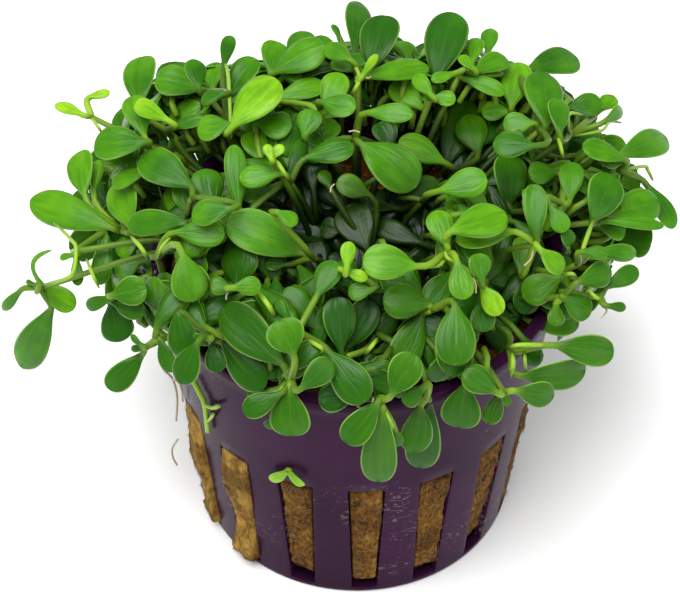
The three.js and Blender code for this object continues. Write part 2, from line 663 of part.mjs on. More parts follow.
// The knob at a shoot's node: an eight-sided bud, one face of which looks along `toward`
function makeKnob(node, toward, roll) {
  const geometry = new THREE.OctahedronGeometry(KNOB);
  const corner = new THREE.Vector3(1, 1, 1).normalize();
  geometry.applyQuaternion(new THREE.Quaternion().setFromAxisAngle(corner, roll));
  geometry.applyQuaternion(new THREE.Quaternion().setFromUnitVectors(corner, toward));
  geometry.translate(node.x, node.y, node.z);
  const at = (i) => new THREE.Vector3().fromBufferAttribute(geometry.attributes.position, i);
  const faces = [];
  for (let i = 0; i < geometry.attributes.position.count; i += 3) {
    faces.push([at(i), at(i + 1), at(i + 2)]);
  }
  return { geometry, faces };
}

const centreOf = (corners) => corners[0].clone().add(corners[1]).add(corners[2]).divideScalar(3);

// Gives each limb the free face of the knob that looks most its way, for the roll that suits them best
function seatLimbs(node, limbs) {
  let best = null;
  for (let step = 0; step < KNOB_ROLLS; step++) {
    const knob = makeKnob(node, limbs[0].toward, step * 2 * Math.PI / 3 / KNOB_ROLLS);
    const looks = knob.faces.map((face) => centreOf(face).sub(node).normalize());
    const free = new Set(looks.keys());
    let worst = 1;
    const seats = limbs.map(({ toward }) => {
      const pick = [...free].reduce((a, b) => (looks[b].dot(toward) > looks[a].dot(toward) ? b : a));
      free.delete(pick);
      worst = Math.min(worst, looks[pick].dot(toward));
      return pick;
    });
    if (!best || worst > best.worst) best = { ...knob, worst, seats, free };
  }
  return best;
}

// Turns a ring's corners so that they join the last ring's with the least twist
function untwisted(last, next) {
  const from = centreOf(last);
  const to = centreOf(next);
  const rolled = [0, 1, 2].map((r) => [0, 1, 2].map((i) => next[(i + r) % 3]));
  const fit = (corners) => corners.reduce((sum, corner, i) => (
    sum + corner.clone().sub(to).normalize().dot(last[i].clone().sub(from).normalize())
  ), 0);
  return rolled.reduce((a, b) => (fit(b) > fit(a) ? b : a));
}

// A limb drawn out of a face of the knob: a three-sided cone with its rows moved onto the rings
function limbSolid(face, { rings, tip }) {
  const rows = [face];
  for (const next of rings) rows.unshift(untwisted(rows[0], next));
  const geometry = new THREE.ConeGeometry(1, 1, 3, rows.length);
  rows.unshift([tip, tip, tip]);
  const hub = [face[0], face[0], face[0]];
  const places = rows.flatMap((corners) => [...corners, corners[0]]).concat(hub, face, [face[0]]);
  places.forEach((at, i) => geometry.attributes.position.setXYZ(i, ...at));
  return solid(geometry);
}

// A shoot: a knob at the node, with the stem and each leaf drawn out of a face of it
function shootSolid(node, limbs) {
  const { geometry, faces, seats } = seatLimbs(node, limbs);
  const grown = limbs.map((limb, i) => limbSolid(faces[seats[i]], limb));
  return wasm.Manifold.union([solid(geometry), ...grown]);
}

function tube(points, radius) {
  const section = new THREE.Shape([0, 1, 2].map((k) => new THREE.Vector2(
    radius * Math.cos(k * 2 * Math.PI / 3),
    radius * Math.sin(k * 2 * Math.PI / 3),
  )));
  const straight = points.length === 2;
  const extrudePath = straight ? new THREE.LineCurve3(...points) : new THREE.CatmullRomCurve3(points);
  const steps = straight ? 1 : STEM_STEPS;
  return outward(mergeVertices(new THREE.ExtrudeGeometry(section, { steps, extrudePath })));
}

// A way for a stem from the wool's top to its node, clear of the rim where the node hangs outside it.
// `turn` and `reach` move its root round the pot's axis and outwards.
function stemPath(node, turn, reach) {
  const radius = Math.hypot(node.x, node.y);
  const heading = new THREE.Vector3(node.x, node.y, 0).normalize();
  const rootRadius = Math.min(radius * ROOT_SHARE, ROOT_REACH) * reach;
  const axis = new THREE.Vector3(0, 0, 1);
  const root = heading.clone().applyAxisAngle(axis, turn).multiplyScalar(rootRadius);
  root.z = WOOL_TOP + GAP;
  const low = radius > RIM_RADIUS - LOW_NODE_INSET && node.z < POT_HEIGHT + LOW_NODE_RISE;
  const middle = low
    ? heading.clone().multiplyScalar(RIM_RADIUS - RIM_INSET).setZ(POT_HEIGHT + RIM_CLEAR)
    : root.clone().lerp(node, 0.5).add(new THREE.Vector3(0, 0, STEM_BOW));
  return [root, middle, node];
}

function pointsAlong(path, count) {
  const points = [];
  for (let leg = 1; leg < path.length; leg++) {
    for (let i = 1; i <= count; i++) points.push(path[leg - 1].clone().lerp(path[leg], i / count));
  }
  return points;
}

// Of the ways a stem could take, the one that comes near the fewest blades and earlier stems
function freeStem(shoot, blades, stems) {
  let best = null;
  for (const reach of ROOT_REACHES) {
    for (const turn of ROOT_TURNS) {
      const path = stemPath(shoot.at, turn, reach);
      const points = pointsAlong(path, STEM_POINTS);
      const near = (others, space) => others.some((other) => (
        points.some((point) => point.distanceToSquared(other) < space * space)
      ));
      const cost = CROSSING_COST * stems.filter((stem) => near(stem, STEM_SPACE)).length
        + blades.filter(({ line, half }) => near(line, half + STEM_SPACE / 2)).length;
      if (!best || cost < best.cost) best = { cost, path, points };
    }
  }
  return best;
}

// Places every blade, then gives each shoot its node, stem and leaves
function plantShoots() {
  const shoots = SHOOTS.map(({ node, leaves }) => ({
    node,
    blades: leaves.map((leaf) => ({ rank: leaf[5], blade: frontBlade(leaf) })),
  }));
  const ordered = shoots.flatMap((shoot) => shoot.blades).sort((a, b) => a.rank - b.rank);
  for (const { blade } of ordered) settle(blade);
  for (const shoot of shoots) {
    const depths = shoot.blades.map(({ blade }) => sighted(blade.base)[2]);
    const depth = depths.reduce((sum, d) => sum + d, 0) / depths.length - NODE_SETBACK;
    shoot.at = seen(...shoot.node, depth);
  }
  for (const [degrees, radius, height] of BACK_SHOOTS) {
    const turn = THREE.MathUtils.degToRad(degrees);
    const at = new THREE.Vector3(radius * Math.cos(turn), radius * Math.sin(turn), height);
    const blades = [];
    for (let k = 0; k < BACK_LEAVES; k++) blades.push({ blade: backBlade(at, k) });
    for (const { blade } of blades) settle(blade);
    shoots.push({ at, blades });
  }
  const stems = [];
  for (const shoot of shoots) {
    const others = shoots.filter((other) => other !== shoot)
      .flatMap(({ at, blades }) => blades.map(({ blade }) => ({ blade, at })));
    const lines = others.map(({ blade, at }) => {
      const spine = [0, 0.25, 0.5, 0.75, 1].map((s) => bladePoint(blade, s, 0));
      return { line: [at, at.clone().lerp(blade.base, 0.5), ...spine], half: blade.half / 2 };
    });
    const { path, points } = freeStem(shoot, lines, stems);
    shoot.path = path;
    stems.push(points);
  }
  return shoots;
}

const shoots = plantShoots();

function largest(manifold) {
  const bodies = manifold.decompose();
  return bodies.reduce((best, body) => (body.volume() > best.volume() ? body : best));
}

const touches = (a, b) => a.intersect(b).volume() > TOUCH;

const pot = makePot();
const wool = makeWool();
const potBlock = turned([
  [0, -GAP],
  [(BASE_RADIUS + GAP) * WOOL_CORNER, -GAP],
  [(WALL_TOP_RADIUS + GAP) * WOOL_CORNER, POT_HEIGHT - RIM_BAND - GAP],
  [(RIM_RADIUS + GAP) * WOOL_CORNER, POT_HEIGHT - RIM_BAND],
  [(RIM_RADIUS + GAP) * WOOL_CORNER, POT_HEIGHT + GAP],
  [wallRadius(POT_HEIGHT) - WALL - GAP, POT_HEIGHT + GAP],
  [wallRadius(WOOL_TOP) - WALL - GAP, WOOL_TOP + GAP],
  [0, WOOL_TOP + GAP],
], WOOL_SIDES);

const built = shoots.map((shoot) => {
  const guard = tube(shoot.path, STEM_RADIUS + CLEARANCE);
  const limbs = [stemLimb(shoot.path), ...shoot.blades.map(({ blade }) => leafLimb(shoot.at, blade))];
  const guards = shoot.blades.map(({ blade }) => tube([shoot.at, blade.base], STALK_RADIUS + CLEARANCE));
  return {
    plant: shootSolid(shoot.at, limbs),
    stem: tube(shoot.path, STEM_RADIUS),
    guard: wasm.Manifold.union([guard, ...guards]),
  };
});

const plants = [];
built.forEach(({ plant: whole, stem }, i) => {
  let plant = whole;
  built.forEach(({ guard }, j) => {
    const gives = j < i || (j > i && !touches(stem, guard));
    if (gives && touches(plant, guard)) plant = plant.subtract(guard);
  });
  if (touches(plant, potBlock)) plant = plant.subtract(potBlock);
  plants.push(largest(plant.simplify(FINEST)));
});

const group = new THREE.Group();
group.name = 'potted_mud_mat';

function addPiece(name, manifold, material) {
  const mesh = new THREE.Mesh(toGeometry(manifold), new THREE.MeshStandardMaterial(material));
  mesh.name = name;
  group.add(mesh);
}

addPiece('net_pot', pot, { color: 0x46304a, roughness: 0.35, metalness: 0 });
addPiece('rock_wool', wool, { color: 0x8a6a35, roughness: 0.95, metalness: 0 });
plants.forEach((plant, i) => {
  const name = `shoot_${String(i + 1).padStart(2, '0')}`;
  addPiece(name, plant, { color: i % 3 ? LEAF_GREEN : DEEP_GREEN, roughness: 0.4, metalness: 0 });
});

export default group;
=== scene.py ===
"""A potted mud mat: a cushion of small glossy leaves over a slotted net pot filled with mineral wool.

Lengths are worked out in millimetres in the part's own frame and turned into metres where a mesh is made.
Leaves are placed as they are seen along one line of sight: u runs to the right and v upwards, in mm, on the
plane that crosses the pot's axis square to it.
"""
import math

import bpy
import numpy as np
from mathutils import Matrix


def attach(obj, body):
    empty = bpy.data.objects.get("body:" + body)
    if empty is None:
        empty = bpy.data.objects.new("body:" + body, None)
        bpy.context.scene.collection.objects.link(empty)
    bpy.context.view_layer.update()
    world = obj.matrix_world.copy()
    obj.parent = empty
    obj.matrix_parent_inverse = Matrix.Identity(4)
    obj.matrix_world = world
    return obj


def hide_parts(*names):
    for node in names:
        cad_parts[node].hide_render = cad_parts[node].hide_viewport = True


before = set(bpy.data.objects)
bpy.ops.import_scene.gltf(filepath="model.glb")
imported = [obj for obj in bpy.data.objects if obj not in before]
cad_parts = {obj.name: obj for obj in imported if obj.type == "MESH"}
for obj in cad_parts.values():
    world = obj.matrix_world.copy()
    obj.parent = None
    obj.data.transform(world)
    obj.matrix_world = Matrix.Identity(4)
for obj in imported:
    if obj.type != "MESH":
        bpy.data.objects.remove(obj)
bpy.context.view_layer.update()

# A millimetre in metres, and a difference in mm that counts as none
MM = 0.001
HAIR = 0.01

# Net pot: its profile, its slots, how its edges are rounded, and its mesh: columns to a slot and to a rib,
# rows up the slots and above them
POT_HEIGHT = 41.8
RIM_RADIUS = 25.0
WALL_TOP_RADIUS = 24.7
BASE_RADIUS = 20.1
WALL = 1.2
FLOOR_THICKNESS = 1.0
RIM_BAND = 1.8
SLOT_COUNT = 16
SLOT_BOTTOM = 1.1
SLOT_TOP = 23.3
SLOT_HALF_BOTTOM = 1.6
SLOT_HALF_TOP = 2.3
FRONT_SLOT_TURN = 0.049
SLOT_PITCH = 2 * math.pi / SLOT_COUNT
FOOT_ROUND = 0.35
RIM_STEP = 0.3
RIM_ROUND = 0.35
LIP_ROUND = 0.2
EDGE_BEVEL = 0.22
BEVEL_ANGLE = math.radians(35)
POT_COLUMNS = (6, 8)
POT_ROWS = (15, 9)

# Mineral wool plug: its gap to the pot, its top, how its face ends at a slot's sides and ends, how far back
# it lies, its mesh, its crown, and the lumps of crown and skin behind the wall: height, size, seed
WOOL_GAP = 0.35
WOOL_TOP = 39.6
WOOL_ROUND = 1.2
WOOL_SIDE_GAP = 0.04
WOOL_SIDE_SOFT = 0.2
WOOL_END_GAP = 0.15
WOOL_END_SOFT = (0.5, 0.4)
WOOL_SUNK = 0.12
WOOL_ROWS = (96, 14)
WOOL_COLUMNS = (22, 10)
CROWN_SHARES = (0.95, 0.85, 0.7, 0.5, 0.3, 0.12)
CROWN_DROP = 0.9
CROWN_LUMPS = (0.25, 3.0, 8)
SKIN_LUMPS = (0.1, 1.5, 6)

# Line of sight, and the camera on it
SIGHT_ELEVATION = math.radians(46.5)
SIGHT_DISTANCE = 314.4
SIGHT_HEIGHT = 33.1
SIGHT_SIDE = -2.12
LENS = 134.4
SENSOR = 36.0
CLIP = (0.02, 10.0)
X_AXIS = np.array([1.0, 0.0, 0.0])
UP = np.array([0.0, math.sin(SIGHT_ELEVATION), math.cos(SIGHT_ELEVATION)])
VIEW = np.array([0.0, -math.cos(SIGHT_ELEVATION), math.sin(SIGHT_ELEVATION)])
EYE = np.array([SIGHT_SIDE, 0.0, SIGHT_HEIGHT]) + VIEW * SIGHT_DISTANCE

# Cushion that the shoots fill: how far its leaves are turned to the viewer, and how they sway from that:
# along which axis, and by how much of u and v
CUSHION_CENTRE = np.array([-1.0, 2.0, 42.0])
CUSHION_RADII = np.array([39.0, 33.0, 18.0])
FACE_VIEWER = 0.5
SWAY = 0.25
SWAY_WAVES = ((0, 1.7, 2.3), (2, 2.1, -1.3))

# Leaves: the gap between one and the next behind, the arch and the outline of a blade, the least share of its
# width that a leaf is taken to show, and how far a shoot's node lies behind its leaves
LEAF_GAP = 0.9
LEAF_ARCH = 0.07
BLADE_RISE = 0.85
BLADE_FALL = 0.5
BLADE_WIDEST = BLADE_RISE / (BLADE_RISE + BLADE_FALL)
EDGE_ON = 0.7
NODE_SETBACK = 0.8

# A leaf's form: half width and half thickness of its stalk and blade, how the stalk sets out, how the blade
# thins at its tip, where it is flat, how it is cupped, twisted, rippled and grooved, and its mesh: how rows
# close up toward the tip, how many there are on stalk and blade, and points round it
STALK_HALF = 0.34
STALK_HALF_GAIN = 0.03
STALK_HALF_MOST = 0.45
STALK_THICK = 0.30
STALK_SHORTEST = 0.3
STALK_OUT = 0.35
STALK_ALONG = 0.15
BLADE_THICK = 0.15
TIP_THIN = 6
TIP_END = 1.02
FLAT_FROM = 0.25
CUP = (-0.20, 0.16)
TWIST = 0.12
RIPPLE = 0.05
RIPPLE_WAVES = (7, 11)
GROOVE_DEPTH = 0.11
GROOVE_HALF = 0.2
GROOVE_WIDEST = 1.6
ROWS_TO_TIP = 1.5
LAST_ROW = 0.996
LEAF_FOOT = 0.2
LEAF_GRID = ((5, 13), 12)
FILL_GRID = ((2, 6), 6)

# Tubes: points round a stalk, a root and a fibre, steps to a leg of their lines, how far their ends stand
# out, by their radius, and a direction that none of them follows
STALK_COLUMNS = 8
ROOT_COLUMNS = 6
FIBRE_COLUMNS = 3
STRAND_STEPS = 6
STEM_STEPS = 8
TUBE_END = 0.7
TUBE_HINT = VIEW + 0.3 * UP + 0.1 * X_AXIS

# Stems: thickness, bow and root, and the way they take over the rim
STEM_RADIUS = 0.42
STEM_TIP = 0.9
STEM_BOW = 1.5
ROOT_SHARE = 0.44
ROOT_REACH = 18.0
RIM_INSET = 2.0
RIM_CLEAR = 3.0
LOW_NODE_INSET = 4.0
LOW_NODE_RISE = 8.0

# How finely the room between leaves is looked at: cells of the sight plane, half as many as there are
# across, and the places along and across a blade where it is sampled
CELL = 0.5
HALF_FIELD = 240
SIGHT_SAMPLES = np.meshgrid(np.linspace(0, 1, 15), np.linspace(-1, 1, 7), indexing="ij")
ROOM_SAMPLES = np.meshgrid(np.linspace(0, 1, 17), np.linspace(-1, 1, 9), indexing="ij")

# Each shoot: where its leaves part, as seen (u, v), then its leaves. Each leaf: blade base u, v, tip u, v,
# width, rank (leaves of a lower rank lie in front), and for a curled leaf the bow to its left.
SHOOTS = [
    [(-32.9, 22.6), (-33.2, 25.0, -30.6, 25.7, 1.3, 1), (-33.9, 22.8, -37.4, 24.2, 1.6, 1)],
    [(-39.1, 1.5), (-39.2, 2.0, -37.8, 6.1, 0.6, 1, 1.6), (-39.8, 1.8, -41.0, 2.3, 0.7, 1),
     (-41.6, 1.2, -43.9, -1.3, 1.4, 1), (-38.9, 1.7, -34.9, -1.0, 2.9, 1),
     (-37.9, -1.2, -41.6, -8.5, 4.3, 1.1)],
    [(-34.9, 6.0), (-35.2, 5.5, -36.8, 5.1, 0.9, 1), (-34.8, 5.2, -34.5, 1.7, 1.6, 1),
     (-31.0, 7.8, -31.9, 1.8, 2.7, 1.2)],
    [(-30.4, 0.4), (-30.2, 0.5, -26.1, 1.5, 3.5, 1), (-30.4, 0.2, -33.5, -0.9, 1.7, 1),
     (-30.3, -0.2, -26.3, -1.6, 2.6, 2), (-30.4, -0.5, -29.2, -5.2, 4.0, 2.1)],
    [(-29.0, 8.4), (-28.0, 9.0, -29.5, 14.8, 4.2, 1.2), (-30.5, 8.9, -40.5, 12.4, 4.6, 1.3),
     (-27.2, 8.2, -29.6, 5.4, 2.6, 3), (-33.7, 13.0, -34.3, 18.4, 3.7, 2),
     (-32.6, 13.4, -32.0, 17.3, 1.8, 2.5)],
    [(-26.2, -5.9), (-26.7, -5.7, -28.0, -4.4, 0.8, 1), (-26.3, -6.0, -28.0, -6.1, 0.9, 1),
     (-26.7, -6.9, -30.8, -11.1, 3.1, 1), (-24.3, -5.0, -22.8, -9.0, 2.0, 2)],
    [(-24.8, 5.2), (-22.3, 8.3, -16.4, 8.0, 3.3, 1.1), (-21.6, 5.5, -20.3, -0.3, 4.2, 1),
     (-21.2, 9.5, -28.4, 9.3, 3.3, 1.15), (-26.8, 4.6, -30.0, 3.3, 2.6, 2)],
    [(-23.0, 20.2), (-23.5, 22.2, -27.5, 24.3, 2.3, 1), (-22.6, 21.3, -18.9, 22.3, 1.7, 2),
     (-23.4, 22.0, -19.4, 24.2, 2.8, 3), (-26.9, 24.0, -26.6, 30.1, 4.4, 2.2)],
    [(-25.8, 18.9), (-26.3, 19.5, -32.6, 18.9, 4.3, 1), (-26.4, 20.4, -27.9, 25.2, 3.4, 2),
     (-26.0, 17.2, -31.7, 17.0, 1.4, 1.4), (-26.0, 16.0, -30.4, 14.2, 2.2, 1.1)],
    [(-20.3, 12.6), (-20.6, 14.0, -26.8, 17.8, 4.5, 1), (-18.0, 11.5, -18.9, 16.2, 4.0, 2),
     (-15.7, 11.2, -20.5, 10.3, 3.1, 1), (-21.2, 10.8, -22.2, 14.1, 2.0, 2)],
    [(-15.6, 1.3), (-15.2, 1.5, -11.9, 1.8, 2.2, 1), (-15.8, 1.4, -18.2, 1.9, 2.2, 1),
     (-14.8, 1.8, -14.5, 6.5, 4.7, 2)],
    [(-18.0, -4.6), (-19.8, -5.5, -22.0, -10.4, 3.3, 1), (-18.0, -5.6, -17.2, -9.0, 2.5, 2),
     (-16.6, -5.2, -11.6, -11.1, 3.9, 2), (-18.6, -4.8, -20.4, -4.4, 0.8, 1),
     (-22.3, -1.6, -21.0, -7.2, 3.7, 1.2)],
    [(-8.2, -10.1), (-7.9, -6.7, -9.6, -2.5, 4.4, 1), (-9.3, -7.9, -16.6, -1.0, 5.0, 1.1),
     (-9.8, -11.8, -14.1, -14.0, 2.8, 1), (-8.3, -11.2, -8.0, -16.9, 4.6, 1.1),
     (-10.5, -14.9, -11.2, -15.9, 1.2, 2), (-6.8, -10.9, -3.2, -7.6, 3.0, 1),
     (-10.9, -11.3, -13.8, -11.6, 1.7, 2)],
    [(-15.6, 20.0), (-15.3, 21.5, -9.9, 27.3, 4.8, 1), (-15.8, 25.0, -12.6, 29.9, 3.2, 2),
     (-16.5, 29.0, -15.7, 32.7, 1.9, 1), (-15.8, 21.6, -19.8, 20.9, 3.2, 1)],
    [(-12.5, 20.3), (-12.3, 21.8, -8.1, 21.4, 3.6, 2), (-12.0, 17.2, -13.2, 20.8, 3.2, 2.2)],
    [(-18.6, 25.4), (-19.6, 26.2, -20.3, 29.8, 2.7, 2), (-19.3, 26.0, -25.0, 27.3, 4.0, 2.1),
     (-17.8, 26.0, -17.6, 29.0, 2.4, 2), (-16.7, 25.3, -19.3, 25.0, 2.1, 1.8)],
    [(-10.4, 27.6), (-10.8, 28.0, -10.0, 32.0, 3.5, 2), (-10.0, 28.2, -4.0, 31.6, 4.2, 1.2),
     (-8.5, 30.0, -5.8, 33.1, 3.4, 2)],
    [(0.2, 27.2), (-0.8, 29.6, -4.0, 31.4, 2.4, 1), (0.3, 28.4, -3.3, 29.3, 1.8, 2),
     (0.6, 27.6, 2.5, 30.4, 1.1, 1), (0.9, 27.5, 8.9, 28.8, 2.9, 1.1), (-2.2, 32.4, -3.0, 34.1, 1.0, 2),
     (1.8, 28.5, 3.5, 35.2, 4.9, 2), (-0.3, 30.8, 0.2, 36.9, 3.6, 2.1)],
    [(-4.5, 23.3), (-4.2, 24.4, -0.2, 23.6, 3.0, 1), (-3.8, 23.4, -2.1, 28.1, 3.4, 1.1),
     (-9.8, 24.9, -3.9, 26.6, 2.7, 2), (-6.5, 20.2, -5.5, 23.6, 3.0, 1)],
    [(-10.5, 17.3), (-10.6, 17.4, -11.3, 19.2, 1.2, 1), (-10.5, 17.5, -9.2, 19.1, 1.3, 1)],
    [(-8.3, 14.5), (-9.8, 15.5, -14.6, 15.0, 2.9, 1), (-6.2, 17.5, -0.4, 18.9, 3.1, 1),
     (-10.2, 16.0, -14.5, 16.8, 1.8, 2), (-10.4, 14.0, -14.2, 12.6, 2.6, 2),
     (-8.4, 15.5, -6.5, 20.0, 1.9, 2), (-14.7, 11.4, -15.3, 19.2, 2.7, 1.3)],
    [(9.2, 25.2), (9.2, 25.2, 7.1, 27.8, 2.0, 1), (9.4, 24.9, 12.2, 24.7, 2.0, 1),
     (8.0, 23.7, 4.3, 26.9, 3.4, 3), (9.8, 27.2, 11.9, 35.6, 5.3, 2)],
    [(12.8, 28.0), (11.9, 27.9, 9.2, 27.1, 1.5, 1), (14.5, 28.4, 12.6, 30.1, 1.4, 1),
     (14.6, 28.2, 18.5, 29.9, 2.9, 1.1), (14.3, 29.4, 14.9, 32.4, 2.2, 2),
     (16.2, 30.6, 16.5, 33.6, 2.3, 2), (13.3, 27.3, 18.3, 25.5, 2.1, 1)],
    [(19.2, 23.2), (19.1, 23.8, 20.1, 29.4, 4.0, 2), (18.7, 23.2, 15.4, 23.4, 2.7, 2)],
    [(22.6, 21.0), (23.3, 21.5, 22.9, 28.3, 5.0, 1.1), (21.8, 19.0, 16.8, 19.2, 3.2, 1),
     (21.8, 21.8, 18.1, 21.6, 2.8, 1.1), (21.2, 28.4, 27.4, 29.8, 4.1, 3)],
    [(26.4, 20.3), (25.0, 20.6, 24.7, 24.9, 2.7, 1), (26.2, 23.6, 30.3, 24.3, 3.0, 2),
     (30.0, 23.4, 31.9, 25.2, 2.3, 2), (30.6, 22.0, 32.8, 23.7, 1.7, 1)],
    [(32.4, 15.9), (32.9, 17.4, 27.9, 19.0, 2.6, 1), (32.8, 17.0, 30.3, 17.6, 2.4, 2),
     (32.5, 17.8, 38.4, 20.0, 3.9, 2), (36.0, 14.0, 39.2, 8.8, 2.6, 3)],
    [(29.5, 9.6), (29.2, 9.8, 31.5, 15.5, 4.6, 1), (30.6, 9.7, 38.0, 9.1, 1.6, 1.5),
     (31.2, 10.4, 37.4, 12.2, 4.4, 2), (29.9, 9.2, 33.2, 8.1, 2.4, 3)],
    [(27.3, 4.4), (27.9, 5.9, 31.1, 5.7, 1.7, 1), (29.6, 5.9, 34.6, 5.7, 2.2, 2)],
    [(25.3, 0.3), (27.4, 2.2, 31.5, 3.7, 3.1, 1), (25.6, 0.3, 28.9, -1.9, 3.2, 1),
     (24.6, -0.7, 24.7, -3.3, 2.1, 1)],
    [(30.0, 0.3), (31.0, 1.6, 34.8, 3.8, 2.4, 1), (31.0, -0.8, 33.3, -1.0, 1.2, 1)],
    [(22.1, 6.9), (22.2, 7.8, 21.9, 14.3, 2.9, 1), (22.7, 6.1, 25.4, 3.4, 2.4, 1),
     (19.0, 8.4, 12.2, 7.3, 2.8, 2), (20.3, 3.2, 20.5, 7.8, 2.4, 2)],
    [(25.4, 11.5), (23.9, 11.4, 25.8, 8.4, 2.3, 1), (26.3, 12.3, 26.6, 17.0, 3.0, 1),
     (25.4, 9.0, 26.4, 6.7, 1.8, 2), (24.6, 10.8, 21.2, 14.5, 2.7, 2), (24.6, 15.6, 21.2, 15.7, 2.9, 1),
     (18.8, 11.6, 18.7, 18.0, 4.2, 1.2)],
    [(11.1, 5.7), (11.6, 8.4, 18.5, 10.6, 4.2, 1), (11.1, 6.8, 9.7, 11.0, 3.2, 1),
     (7.2, 4.1, 0.7, 4.9, 4.1, 1), (7.8, 7.0, 2.1, 9.3, 2.8, 2), (12.4, 4.5, 13.2, 0.0, 2.9, 1),
     (11.8, 3.3, 9.0, -1.0, 3.8, 1.1)],
    [(15.4, 2.2), (15.4, 2.4, 14.9, 5.7, 2.6, 1), (15.9, 2.3, 17.5, 5.4, 2.3, 2),
     (15.5, 1.6, 17.7, -1.9, 2.6, 1), (15.6, -0.3, 15.4, -4.0, 2.9, 1.1)],
    [(10.8, 15.2), (15.0, 18.2, 13.6, 22.9, 4.3, 2), (10.9, 16.4, 14.0, 24.6, 4.4, 2.1),
     (10.6, 17.0, 5.2, 19.8, 3.5, 2)],
    [(8.1, 12.2), (10.4, 13.5, 16.1, 15.0, 3.5, 1), (5.5, 12.8, 10.1, 14.6, 2.8, 2),
     (4.8, 11.3, 0.6, 12.7, 2.9, 2)],
    [(-0.3, 19.9), (0.5, 19.2, 7.3, 13.9, 5.3, 1), (4.3, 18.8, 2.8, 22.0, 3.0, 3),
     (1.4, 23.1, 6.9, 22.9, 2.4, 1), (-5.0, 19.5, -2.4, 21.9, 2.6, 2)],
    [(-1.6, 3.7), (-1.3, 4.0, -1.0, 7.2, 1.8, 1), (-1.4, 3.5, 1.3, 2.6, 1.4, 1),
     (1.8, 1.2, -1.1, 0.7, 2.0, 1), (-1.7, 4.5, -3.5, 5.3, 1.9, 2)],
    [(-7.3, -3.9), (-4.9, 0.6, -2.7, 4.8, 3.0, 1), (-3.3, -6.7, 1.1, -12.7, 4.4, 1)],
    [(-5.5, 5.1), (-6.8, 5.7, -16.1, 9.7, 5.0, 1.2), (-9.9, 10.8, -7.4, 9.4, 1.8, 1),
     (-8.9, 4.3, -11.4, 4.4, 1.7, 2)],
    [(1.5, 5.5), (1.2, 6.4, -1.2, 11.7, 4.8, 1.2), (-1.8, 8.6, -4.5, 8.9, 2.8, 2),
     (1.5, 12.9, -2.5, 14.7, 2.8, 1), (-3.4, 13.9, -4.4, 16.0, 1.8, 1)],
    [(9.3, -1.2), (8.8, -0.7, 3.2, 0.2, 4.2, 1), (12.1, -0.8, 12.2, -8.2, 4.7, 1),
     (8.0, -2.0, 4.9, -8.6, 3.9, 2)],
    [(21.9, 3.7), (25.1, 2.7, 20.5, 0.3, 3.7, 1), (21.9, 3.4, 20.4, -1.8, 3.3, 2),
     (21.5, -2.8, 27.5, -3.0, 3.0, 2)],
    [(18.8, -6.4), (24.8, -5.7, 31.8, -6.6, 3.7, 1), (20.3, -9.4, 28.3, -8.8, 3.6, 1.2),
     (18.5, -6.7, 16.5, -2.0, 3.4, 2), (17.4, -7.6, 17.2, -10.1, 2.9, 2)],
    [(18.1, -11.4), (17.1, -11.4, 13.2, -8.8, 3.3, 1), (19.7, -11.3, 24.4, -11.9, 3.1, 1),
     (18.0, -11.8, 18.9, -13.1, 1.0, 1), (17.6, -11.8, 16.2, -15.4, 2.4, 2),
     (13.4, -10.6, 12.6, -15.9, 4.7, 1.1)],
    [(2.6, -12.2), (4.4, -11.6, 7.0, -6.7, 3.9, 1), (2.5, -12.8, -1.5, -17.7, 3.5, 1),
     (3.2, -13.6, 2.6, -22.6, 4.2, 1), (4.7, -16.2, 5.2, -18.2, 1.4, 1),
     (-0.5, -12.2, -4.8, -12.0, 3.6, 2)],
    [(-1.6, -7.2), (-2.0, -6.2, -2.5, 0.3, 3.8, 1.1), (-1.2, -5.9, 1.8, -0.1, 3.8, 2),
     (1.7, -5.6, 4.8, -1.6, 2.5, 2), (2.3, -8.5, 4.1, -7.8, 1.0, 1)],
    [(8.7, -12.0), (8.1, -10.9, 5.8, -13.0, 2.2, 1), (7.8, -13.3, 7.0, -19.0, 3.9, 1),
     (9.0, -12.9, 7.8, -20.9, 4.2, 2)],
]

# Shoots round the back: turn round the axis in degrees, 90 being straight back, distance and height; then
# the fan of leaves that each carries
BACK_SHOOTS = [
    (15, 31, 38), (38, 33, 38), (60, 33, 37), (80, 33, 36),
    (100, 33, 37), (120, 33, 36), (142, 32, 38), (166, 30, 38),
]
BACK_LEAVES = 5
BACK_LEAF_TURN = 1.15
BACK_LEAF_UNEVEN = 0.25
BACK_LEAF_WAVES = (3.1, 2)
BACK_LEAF_LENGTH = 8.6
BACK_LEAF_SHORTER = 0.3
BACK_LEAF_WIDTH = 4.4
BACK_STALK = 2.5
BACK_LEAF_LIFT = 0.15

# Leaves whose green stands out from the rest: tip (u, v), then tone from -1, dark, to 1, yellow-green
TONES = [
    (0.2, 36.9, -0.5), (3.5, 35.2, -0.8), (11.9, 35.6, -0.7), (-29.2, -5.2, -0.8), (-11.6, -11.1, -0.7),
    (-17.2, -9.0, -0.8), (-4.8, -12.0, -0.8), (-2.5, 0.3, -0.7), (1.8, -0.1, -0.7), (-9.9, 27.3, 0.7),
    (-27.5, 24.3, 0.9), (-37.4, 24.2, 0.9), (-30.6, 25.7, 0.9), (-11.3, 19.2, 1.0), (-9.2, 19.1, 1.0),
    (1.3, 2.6, 0.9), (-1.0, 7.2, 0.8), (17.7, -1.9, 0.8), (2.5, 30.4, 0.9), (7.8, -20.9, -0.5),
    (25.4, 3.4, 0.6), (24.7, -3.3, 0.5), (-21.0, -7.2, -0.5), (-14.7, 18.0, -0.4), (20.4, -1.8, -0.6),
    (21.2, 14.5, -0.3), (-14.5, 6.5, -0.4), (-26.6, 30.1, -0.2), (2.8, 22.0, -0.8), (-6.5, 20.0, -0.6),
]

